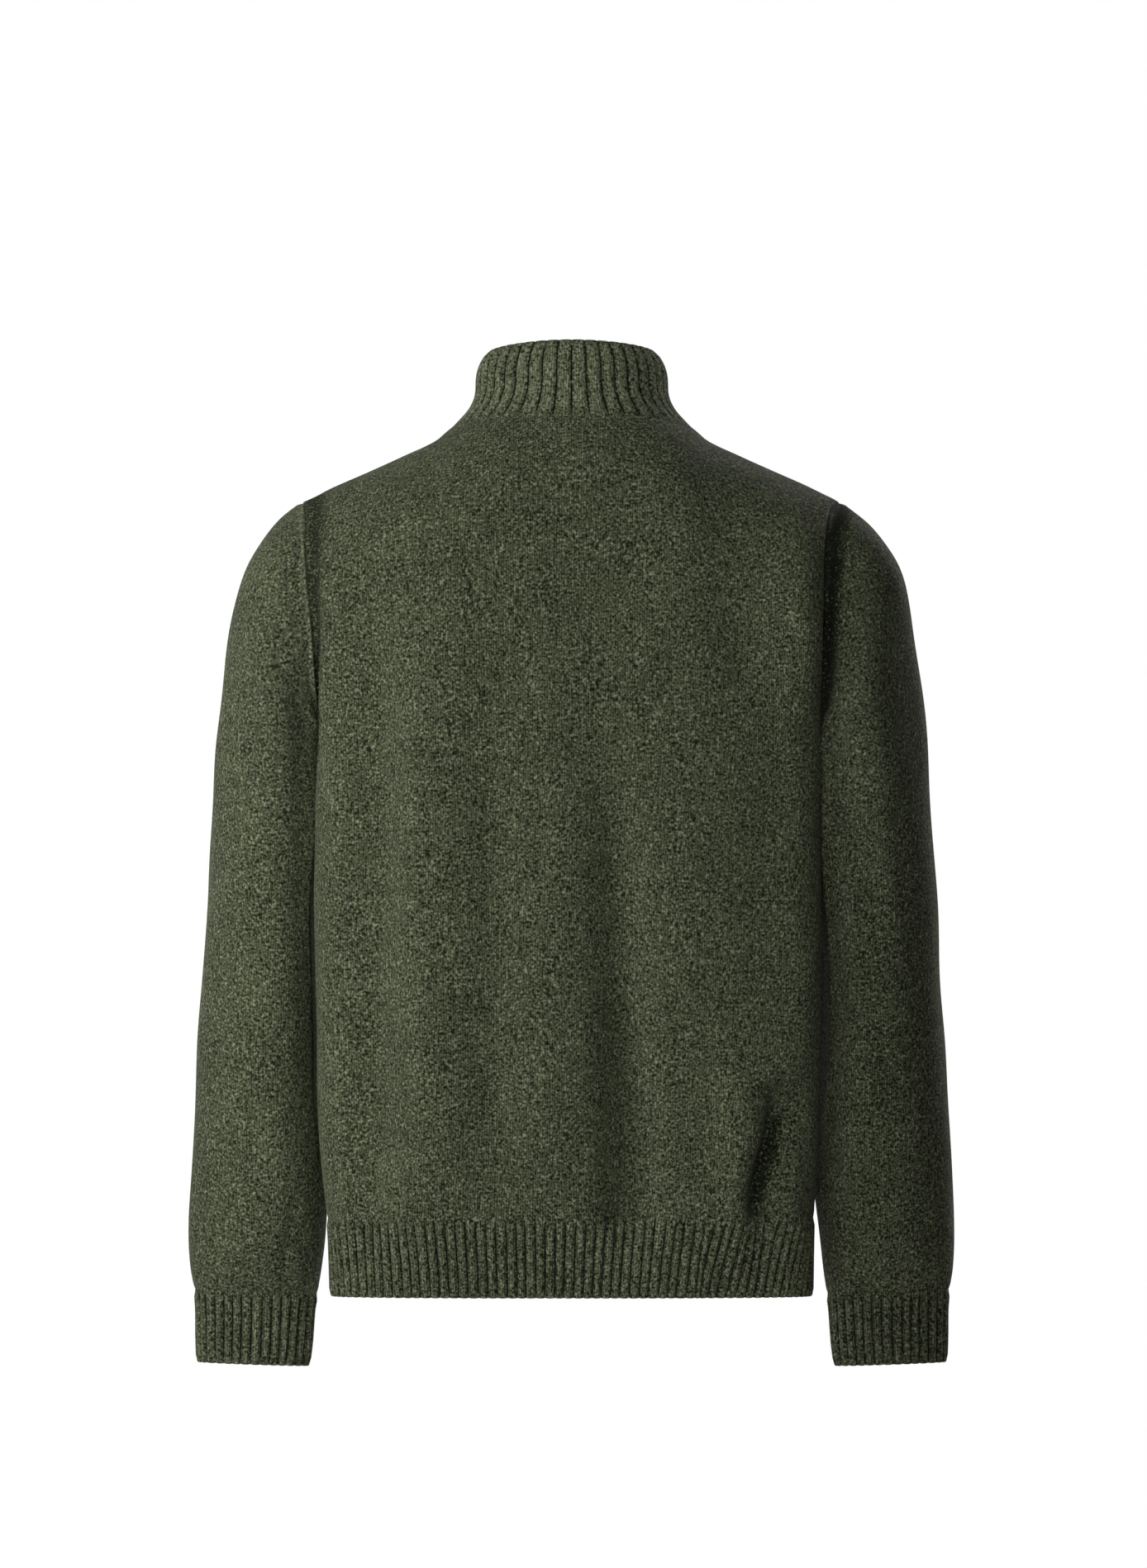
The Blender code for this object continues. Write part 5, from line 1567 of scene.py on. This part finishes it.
# ---------------------------------------------------------------- hard pieces
class Bench:
    """Hand tools for the hard pieces. Each works on one object in edit mode."""

    @staticmethod
    def settled(name: str) -> bpy.types.Object:
        """Names the piece just added and applies its place, turn and scale."""
        obj = bpy.context.object
        obj.name = name
        bpy.ops.object.transform_apply(location=True, rotation=True, scale=True)
        return obj

    @staticmethod
    def block(name: str, size: tuple[float, float, float], centre: tuple[float, float, float]) -> bpy.types.Object:
        """Adds a block of a size at a place."""
        bpy.ops.object.select_all(action="DESELECT")
        bpy.ops.mesh.primitive_cube_add(size=1, location=centre)
        bpy.context.object.scale = size
        return Bench.settled(name)

    @staticmethod
    def rod(name: str, radius: float, width: float, centre: tuple[float, float, float]) -> bpy.types.Object:
        """Adds a round bar along X."""
        bpy.ops.object.select_all(action="DESELECT")
        turned = (0, math.pi / 2, 0)
        bpy.ops.mesh.primitive_cylinder_add(vertices=24, radius=radius, depth=width, location=centre, rotation=turned)
        return Bench.settled(name)

    @staticmethod
    def pick(obj: bpy.types.Object, kind: str, test: Callable[[Vector, Vector], bool]) -> None:
        """Enters edit mode with the faces or edges selected whose centre and direction pass a test.

        Args:
            obj: the piece.
            kind: FACE or EDGE.
            test: takes the centre and the normal or direction.
        """
        bpy.ops.object.select_all(action="DESELECT")
        obj.select_set(True)
        bpy.context.view_layer.objects.active = obj
        bpy.ops.object.mode_set(mode="EDIT")
        bpy.ops.mesh.select_mode(type=kind)
        bpy.ops.mesh.select_all(action="DESELECT")
        bpy.ops.object.mode_set(mode="OBJECT")
        mesh = obj.data
        if kind == "FACE":
            for face in mesh.polygons:
                face.select = test(face.center, face.normal)
        else:
            for edge in mesh.edges:
                a, b = (mesh.vertices[i].co for i in edge.vertices)
                edge.select = test((a + b) / 2, (b - a).normalized())
        bpy.ops.object.mode_set(mode="EDIT")

    @staticmethod
    def done() -> None:
        """Leaves edit mode."""
        bpy.ops.object.mode_set(mode="OBJECT")

    @classmethod
    def inset(
        cls, obj: bpy.types.Object, width: float, out: float, test: Callable[[Vector, Vector], bool] | None = None
    ) -> None:
        """Draws a rim round faces and moves what lies inside it out of them, or back where out is under 0.

        Args:
            obj: the piece.
            width: the rim's width.
            out: how far the inside moves along -Y.
            test: takes a face's centre and normal. Without it, the faces towards -Y are taken.
        """
        cls.pick(obj, "FACE", test or (lambda centre, normal: normal.y < -FACING))
        bpy.ops.mesh.inset(thickness=width)
        bpy.ops.transform.translate(value=(0, -out, 0))
        cls.done()

    @classmethod
    def bevel(cls, obj: bpy.types.Object, width: float, segments: int = 2) -> None:
        """Rounds all the edges of a piece."""
        cls.pick(obj, "EDGE", lambda centre, along: True)
        bpy.ops.mesh.bevel(offset=width, segments=segments, affect="EDGES")
        cls.done()

    @classmethod
    def joined(cls, name: str, pieces: list[bpy.types.Object]) -> bpy.types.Object:
        """Joins pieces into one object."""
        bpy.ops.object.select_all(action="DESELECT")
        for obj in pieces:
            obj.select_set(True)
        bpy.context.view_layer.objects.active = pieces[0]
        bpy.ops.object.join()
        pieces[0].name = name
        bpy.ops.object.shade_smooth_by_angle(angle=math.radians(SMOOTH_DEGREES))
        return pieces[0]

    @staticmethod
    def move(obj: bpy.types.Object, matrix: Matrix) -> None:
        """Moves a piece's mesh, so that its object stays at the origin."""
        obj.data.transform(matrix)
        obj.data.update()


@dataclass(frozen=True)
class TapePoint:
    """A point across a tape: its distance from the zip's middle, and how thick the cord is there."""

    x: float
    rise: float


TAPE = table(
    TapePoint,
    "x rise",
    (0.0004, 0.0),
    (0.0010, 0.0003),
    (0.0018, 0.0003),
    (0.0024, 0.0),
    (0.0040, 0.0),
    (0.0080, 0.0),
    (0.0120, 0.0),
    (0.0150, 0.0),
)


@dataclass
class Zip:
    """The closed zip: tapes, teeth, bottom box, slider and pull tab."""

    body: Body
    collar: Sheet
    wall: Wall
    hinge: Grid
    tape_thickness: float = 0.0007
    tape_clearance: float = 0.0004
    chain_half_width: float = 0.0029
    chain_thickness: float = 0.0022
    pitch: float = 0.0029
    chain_clearance: float = 0.0003
    tooth_thickness: float = 0.00135
    tooth_head: float = 0.0011
    tooth_tip: float = 0.0004
    tooth_narrowing: float = 0.6
    tooth_rim: float = 0.0002
    tooth_raised: float = 0.00012
    slider_width: float = 0.0084
    slider_length: float = 0.0120
    slider_below_top: float = 0.0040
    slider_face: float = 0.0036
    slider_narrowing: float = 0.76
    slider_rim: float = 0.0010
    slider_raised: float = 0.0004
    slider_bevel: float = 0.00045
    box_width: float = 0.0080
    box_length: float = 0.0095
    box_face: float = 0.0030
    box_rim: float = 0.0009
    box_sunk: float = 0.0004
    box_bevel: float = 0.00035
    lug_gap: float = 0.0042
    lug_width: float = 0.0013
    lug_length: float = 0.0040
    lug_root: float = 0.0010
    lug_beyond: float = 0.0014
    lug_bevel: float = 0.0005
    pin_radius: float = 0.0007
    pin_offset: float = 0.0024
    pin_at: float = 0.55
    pin_bevel: float = 0.0001
    tab_width: float = 0.0036
    tab_end_width: float = 0.0062
    tab_length: float = 0.0270
    tab_thickness: float = 0.0012
    tab_widens: float = 0.28
    tab_widens_over: float = 0.20
    tab_tip_at: float = 0.88
    tab_tip_over: float = 0.12
    tab_tip: float = 0.72
    tab_cuts: int = 8
    tab_sunk_below: float = 0.45
    tab_rim: float = 0.0009
    tab_sunk: float = 0.55
    tab_bevel: float = 0.00018
    eye_start: float = 0.0012
    eye_radius: float = 0.0019
    eye_wall: float = 0.0009
    eye_clearance: float = 0.0001

    def line(self, side: Side) -> tuple[Grid, Grid, Grid]:
        """Points, normals and directions away from the zip, up one front edge."""
        edge, beside = (0, 1) if side is Side.LEFT else (-1, -2)
        points, normals, away = [], [], []
        for sheet in (self.body.hems[side.name.lower()], self.body.fronts[side], self.collar):
            rows = slice(1 if points else 0, None)
            points.append(sheet.points[rows, edge])
            normals.append(sheet.normals[rows, edge])
            away.append(sheet.points[rows, beside] - sheet.points[rows, edge])
        points, normals, away = (np.concatenate(part) for part in (points, normals, away))
        normals = unit(normals)
        away -= normals * (away * normals).sum(axis=1, keepdims=True)
        away[:, 2] = 0
        return points, normals, unit(away)

    def tape(self, side: Side) -> bpy.types.Object:
        """One tape, with a thicker cord along its inner edge."""
        points, normals, away = self.line(side)
        face = points - normals * (KNIT_WALL + self.tape_clearance)
        places, cord = column(TAPE, "x"), column(TAPE, "rise")
        start = self.body.form.front_edge_x
        sheet = face[:, None] + away[:, None] * (places - start)[None, :, None]
        inner = sheet - normals[:, None] * self.tape_thickness
        outer = sheet + normals[:, None] * cord[None, :, None]
        along = lengths(points[:, None], 0)[:, :1]
        flat = np.stack(np.broadcast_arrays(places[None], along, 0), axis=-1)
        turned = side is Side.RIGHT
        return self.wall.build(f"woven_zip_tape_{side.name.lower()}", outer, inner, flat, False, turned, ())

    def centre(self) -> tuple[Grid, Grid]:
        """The zip's middle line just in front of the tapes, and the direction that it faces."""
        points, normals, away = self.line(Side.LEFT)
        near = points - normals * (KNIT_WALL + self.tape_clearance)
        near = near + away * (TAPE[0].x - self.body.form.front_edge_x)
        facing = unit(normals * (0, 1, 1))
        return near * (0, 1, 1) + facing * self.chain_clearance, facing

    @staticmethod
    def read(line: Grid, facing: Grid, at: Grid) -> tuple[Grid, Grid]:
        """Points and directions at lengths along the line."""
        length = line_lengths(line)
        return read_line(line, length, at), unit(read_line(facing, length, at))

    @staticmethod
    def frame(foot: Grid, top: Grid, out: Grid) -> Matrix:
        """A matrix from a hard piece's own frame, with -Y facing out and Z up the zip, to its place at foot."""
        up = unit(top - foot)
        out = unit(out - up * (out @ up))
        matrix = Matrix(np.stack([SIDE_AXIS, -out, up], axis=1).tolist()).to_4x4()
        matrix.translation = Vector(foot.tolist())
        return matrix

    def tooth(self) -> bpy.types.Object:
        """One tooth of the wearer's right side, at the origin: its root on the tape, its head past the middle."""
        root, head = -self.chain_half_width, self.tooth_head
        middle, deep = (root + head) / 2, self.chain_thickness
        size = (head - root, deep, self.tooth_thickness)
        obj = Bench.block("tooth", size, (middle, -deep / 2, 0))
        Bench.pick(obj, "FACE", lambda centre, normal: normal.x > FACING)
        bpy.ops.mesh.extrude_region_move(TRANSFORM_OT_translate={"value": (self.tooth_tip, 0, 0)})
        bpy.ops.transform.resize(value=(1, self.tooth_narrowing, self.tooth_narrowing))
        Bench.done()
        Bench.inset(obj, self.tooth_rim, self.tooth_raised, lambda centre, way: way.y < -FACING and centre.x < head)
        return obj

    @staticmethod
    def ordered(points: Grid, faces: list[list[int]]) -> tuple[Grid, list[list[int]]]:
        """Points and faces in an order set by where they lie, since the order that Extrude leaves varies by run."""
        order = np.lexsort(points.T)
        place = np.argsort(order).tolist()
        moved = [[place[corner] for corner in face] for face in faces]
        starts = [face.index(min(face)) for face in moved]
        return points[order], sorted(face[start:] + face[:start] for face, start in zip(moved, starts))

    def teeth(self, line: Grid, facing: Grid) -> bpy.types.Object:
        """Both rows of teeth, from the bottom box up to the slider."""
        pattern = self.tooth()
        count = len(pattern.data.vertices)
        flat = np.empty(count * 3)
        pattern.data.vertices.foreach_get("co", flat)
        shape, faces = self.ordered(flat.reshape(-1, 3), [list(face.vertices) for face in pattern.data.polygons])
        bpy.data.objects.remove(pattern)
        total = line_lengths(line)[-1]
        first = self.box_length + self.tooth_thickness
        last = total - self.slider_below_top - self.slider_length - self.tooth_thickness
        at = np.arange(first, last, self.pitch / 2)
        points, outs = self.read(line, facing, at)
        ups = unit(np.gradient(points, axis=0))
        vertices, polygons = [], []
        for number, (point, out, up) in enumerate(zip(points, outs, ups)):
            side = 1 if number % 2 == 0 else -1
            tooth = point + np.outer(shape[:, 0] * side, SIDE_AXIS) - np.outer(shape[:, 1], out)
            vertices.append(tooth + np.outer(shape[:, 2], up))
            turned = [face if side > 0 else face[::-1] for face in faces]
            polygons += [[corner + number * count for corner in face] for face in turned]
        mesh = bpy.data.meshes.new("metal_zip_teeth")
        mesh.from_pydata(np.concatenate(vertices).tolist(), [], polygons)
        return linked(mesh.name, mesh)

    def bottom_box(self, line: Grid, facing: Grid) -> bpy.types.Object:
        """The box that holds the ends of both rows, with a groove across its face."""
        size = (self.box_width, self.box_face, self.box_length)
        obj = Bench.block("metal_zip_box", size, (0, -self.box_face / 2, self.box_length / 2))
        Bench.inset(obj, self.box_rim, -self.box_sunk)
        Bench.bevel(obj, self.box_bevel)
        obj = Bench.joined("metal_zip_box", [obj])
        ends, outs = self.read(line, facing, np.array([0.0, self.box_length]))
        Bench.move(obj, self.frame(ends[0], ends[1], outs[0]))
        return obj

    def slider(self, matrix: Matrix) -> bpy.types.Object:
        """The slider's body, narrower below, with two lugs and the pin."""
        size = (self.slider_width, self.slider_face, self.slider_length)
        body = Bench.block("slider_body", size, (0, -self.slider_face / 2, self.slider_length / 2))
        Bench.pick(body, "FACE", lambda centre, normal: normal.z < -FACING)
        bpy.ops.transform.resize(value=(self.slider_narrowing, 1, 1))
        Bench.done()
        Bench.inset(body, self.slider_rim, self.slider_raised)
        Bench.bevel(body, self.slider_bevel)
        up, out = self.slider_length * self.pin_at, self.slider_face + self.pin_offset
        pieces = [body]
        for side in (-1, 1):
            deep = self.pin_offset + self.lug_root + self.lug_beyond
            place = (side * (self.lug_gap + self.lug_width) / 2, -(out + self.lug_beyond - deep / 2), up)
            lug = Bench.block("lug", (self.lug_width, deep, self.lug_length), place)
            Bench.bevel(lug, self.lug_bevel, 3)
            pieces.append(lug)
        pin = Bench.rod("pin", self.pin_radius, self.lug_gap + self.lug_width, (0, -out, up))
        Bench.bevel(pin, self.pin_bevel, 1)
        slider = Bench.joined("metal_zip_slider", [*pieces, pin])
        Bench.move(slider, matrix)
        return slider

    def tab(self, matrix: Matrix) -> bpy.types.Object:
        """The pull tab: an eye round the pin and a flat plate that widens below, with a hollow on both faces."""
        length, thick, start = self.tab_length, self.tab_thickness, self.eye_start
        plate = Bench.block("plate", (self.tab_width, thick, length - start), (0, 0, -(length + start) / 2))
        Bench.pick(plate, "EDGE", lambda centre, along: abs(along.z) > FACING)
        bpy.ops.mesh.subdivide(number_cuts=self.tab_cuts)
        Bench.done()
        for vertex in plate.data.vertices:
            share = -vertex.co.z / length
            widening = float(ease((share - self.tab_widens) / self.tab_widens_over))
            narrowing = float(ease((share - self.tab_tip_at) / self.tab_tip_over))
            vertex.co.x *= mix(1, self.tab_end_width / self.tab_width, widening) * mix(1, self.tab_tip, narrowing)
        below = -self.tab_sunk_below * length
        Bench.pick(plate, "FACE", lambda centre, normal: abs(normal.y) > FACING and centre.z < below)
        bpy.ops.mesh.inset(thickness=self.tab_rim)
        bpy.ops.transform.resize(value=(1, self.tab_sunk, 1), center_override=(0, 0, 0))
        Bench.done()
        Bench.bevel(plate, self.tab_bevel)
        eye = Bench.rod("eye", self.eye_radius, self.tab_width - self.eye_clearance, (0, 0, 0))
        Bench.pick(eye, "FACE", lambda centre, normal: abs(normal.x) > FACING)
        bpy.ops.mesh.inset(thickness=self.eye_wall)
        bpy.ops.mesh.delete(type="FACE")
        Bench.done()
        inner = self.eye_radius - self.eye_wall
        Bench.pick(eye, "EDGE", lambda centre, along: 0.97 < math.hypot(centre.y, centre.z) / inner < 1.01)
        bpy.ops.mesh.bridge_edge_loops()
        Bench.done()
        tab = Bench.joined("metal_zip_tab", [plate, eye])
        Bench.move(tab, matrix)
        return tab

    def build(self) -> list[Piece]:
        """Builds all of the zip."""
        line, facing = self.centre()
        total = line_lengths(line)[-1]
        ends = np.array([total - self.slider_below_top - self.slider_length, total - self.slider_below_top])
        places, outs = self.read(line, facing, ends)
        tilt = self.frame(places[0], places[1], outs[1])
        pin = Vector((0, -(self.slider_face + self.pin_offset), self.slider_length * self.pin_at))
        tilt.translation = Vector(self.hinge.tolist()) - tilt.to_3x3() @ pin
        hang = tilt.copy()
        hang.translation = Vector(self.hinge.tolist())
        return [
            Piece(self.tape(Side.LEFT), "zip_tape_left", "zip_tape"),
            Piece(self.tape(Side.RIGHT), "zip_tape_right", "zip_tape"),
            Piece(self.teeth(line, facing), "zip_chain", "zip_metal"),
            Piece(self.bottom_box(line, facing), "zip_bottom_box", "zip_metal"),
            Piece(self.slider(tilt), "zip_slider", "zip_metal"),
            Piece(self.tab(hang), "zip_pull_tab", "zip_metal", "pull_tab"),
        ]


# ---------------------------------------------------------------- the studio
@dataclass(frozen=True)
class Lamp:
    """A soft box. Its azimuth counts from the camera's side towards the wearer's left, in degrees.

    A small spread is a grid on the soft box: its light fades out sideways from where it is aimed.
    """

    name: str
    azimuth: float
    elevation: float
    power: float
    width: float
    height: float
    spread: float
    aim_x: float
    aim_z: float
    distance: float


LAMPS = table(
    Lamp,
    "name azimuth elevation power width height spread aim_x aim_z distance",
    ("behind", 3, 14, 22, 1.0, 1.2, 180, 0.0, -0.20, 3.4),
    ("left", 59, 14, 86, 1.0, 1.2, 180, 0.0, -0.20, 3.4),
    ("near_strip", 15, 8, 1.35, 0.12, 1.3, 15, 0.25, -0.20, 3.4),
    ("left_strip", 35, 10, 0.40, 0.12, 1.3, 14, 0.25, -0.20, 3.4),
    ("upper_strip", 50, 28, 0.30, 0.12, 0.8, 12, 0.20, -0.10, 3.4),
    ("middle_strip", 3, 8, 0.30, 0.12, 1.5, 5.5, -0.09, -0.30, 3.4),
    ("sleeve_near", 8, 10, 0.075, 0.05, 1.2, 3, -0.205, -0.36, 3.4),
    ("sleeve_left", 30, 10, 0.055, 0.05, 1.2, 2.6, -0.215, -0.36, 3.4),
    ("front", -145, 22, 150, 1.6, 1.6, 180, 0.0, -0.20, 4.0),
    ("front_fill", 150, 10, 45, 1.6, 1.6, 180, 0.0, -0.20, 4.0),
)


@dataclass
class Studio:
    """The floor, the lights, the pale surroundings and the camera."""

    distance: float = 14.0
    centre: tuple[float, float] = (-0.0013, -0.2671)
    frame_height: float = 1.1957
    sensor_mm: float = 36.0
    floor_z: float = -1.45
    floor_radius: float = 2.6
    floor_rim: float = 0.5
    surround: float = 0.012
    backdrop: Colour = (1.0, 1.0, 1.0)

    def floor(self) -> None:
        """Adds the floor."""
        bpy.ops.object.select_all(action="DESELECT")
        place = (0, 0, self.floor_z)
        bpy.ops.mesh.primitive_circle_add(vertices=96, radius=self.floor_radius, fill_type="NGON", location=place)
        floor = Bench.settled("studio_floor")
        Bench.pick(floor, "FACE", lambda centre, normal: True)
        bpy.ops.mesh.inset(thickness=self.floor_rim)
        Bench.done()
        floor.data.materials.append(PaleFloor().material())

    def light(self, lamp: Lamp) -> None:
        """Adds a soft light that faces its target."""
        data = bpy.data.lights.new(lamp.name, "AREA")
        data.shape = "RECTANGLE"
        data.size = lamp.width
        data.size_y = lamp.height
        data.spread = math.radians(lamp.spread)
        data.energy = lamp.power
        around, above = math.radians(lamp.azimuth), math.radians(lamp.elevation)
        way = Vector((math.sin(around) * math.cos(above), math.cos(around) * math.cos(above), math.sin(above)))
        target = Vector((lamp.aim_x, 0, lamp.aim_z))
        obj = linked(lamp.name, data)
        obj.location = target + way * lamp.distance
        obj.rotation_euler = way.to_track_quat("Z", "Y").to_euler()

    def world(self) -> None:
        """Surrounds the scene with a plain pale tone, which lights it less than it shows."""
        world = bpy.data.worlds.new("studio")
        bpy.context.scene.world = world
        world.use_nodes = True
        tree = world.node_tree
        tree.nodes.clear()
        seen = tree.nodes.new("ShaderNodeBackground")
        seen.inputs["Color"].default_value = (*self.backdrop, 1)
        soft = tree.nodes.new("ShaderNodeBackground")
        soft.inputs["Color"].default_value = (1, 1, 1, 1)
        soft.inputs["Strength"].default_value = self.surround
        path = tree.nodes.new("ShaderNodeLightPath")
        both = tree.nodes.new("ShaderNodeMixShader")
        out = tree.nodes.new("ShaderNodeOutputWorld")
        tree.links.new(path.outputs["Is Camera Ray"], both.inputs[0])
        tree.links.new(soft.outputs[0], both.inputs[1])
        tree.links.new(seen.outputs[0], both.inputs[2])
        tree.links.new(both.outputs[0], out.inputs["Surface"])

    def camera(self) -> None:
        """Adds the camera: level, behind the wearer, on the picture's centre."""
        data = bpy.data.cameras.new("photo_view")
        data.sensor_fit = "VERTICAL"
        data.sensor_height = self.sensor_mm
        data.lens = self.sensor_mm * self.distance / self.frame_height
        obj = linked(data.name, data)
        obj.location = (self.centre[0], self.distance, self.centre[1])
        obj.rotation_euler = (math.pi / 2, 0, math.pi)
        bpy.context.scene.camera = obj

    def build(self) -> None:
        """Builds the studio."""
        bpy.context.scene.view_settings.view_transform = "Standard"
        self.floor()
        for lamp in LAMPS:
            self.light(lamp)
        self.world()
        self.camera()


def corners(box: tuple) -> list[list[float]]:
    """A box's two corners as plain lists."""
    return [[float(number) for number in corner] for corner in box]


def hinge_point(frame: dict) -> Grid:
    """Where the pull tab's joint lies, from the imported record."""
    joints = frame["record"]["behaviour"]["joints"]
    return np.array(joints[0]["pos_m"], dtype=float)


def main() -> None:
    """Builds the garment's pieces in order, dresses them and sets up the studio."""
    logging.basicConfig(level=logging.INFO, format="%(name)s: %(message)s")
    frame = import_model()
    Studio().build()

    creasing = Creasing()
    body = Body(BodyForm(), creasing, Drape())
    arms = Arms(body, creasing)
    collar = Collar(body).sheet()
    sheets = [body.back, *body.fronts.values(), *body.hems.values(), *arms.sleeves.values(), *arms.cuffs.values()]
    share_normals([*sheets, collar])

    pieces = Knitting(Wall()).pieces(body, arms, collar)
    pieces += Zip(body, collar, Wall(), hinge_point(frame)).build()

    finishes = {
        "knit": MarlKnit().material(),
        "zip_tape": WovenTape().material(),
        "zip_metal": ZipMetal().material(),
    }
    placed = {piece.node: piece.place(finishes[piece.slot]) for piece in pieces}


if __name__ == "__main__":
    main()
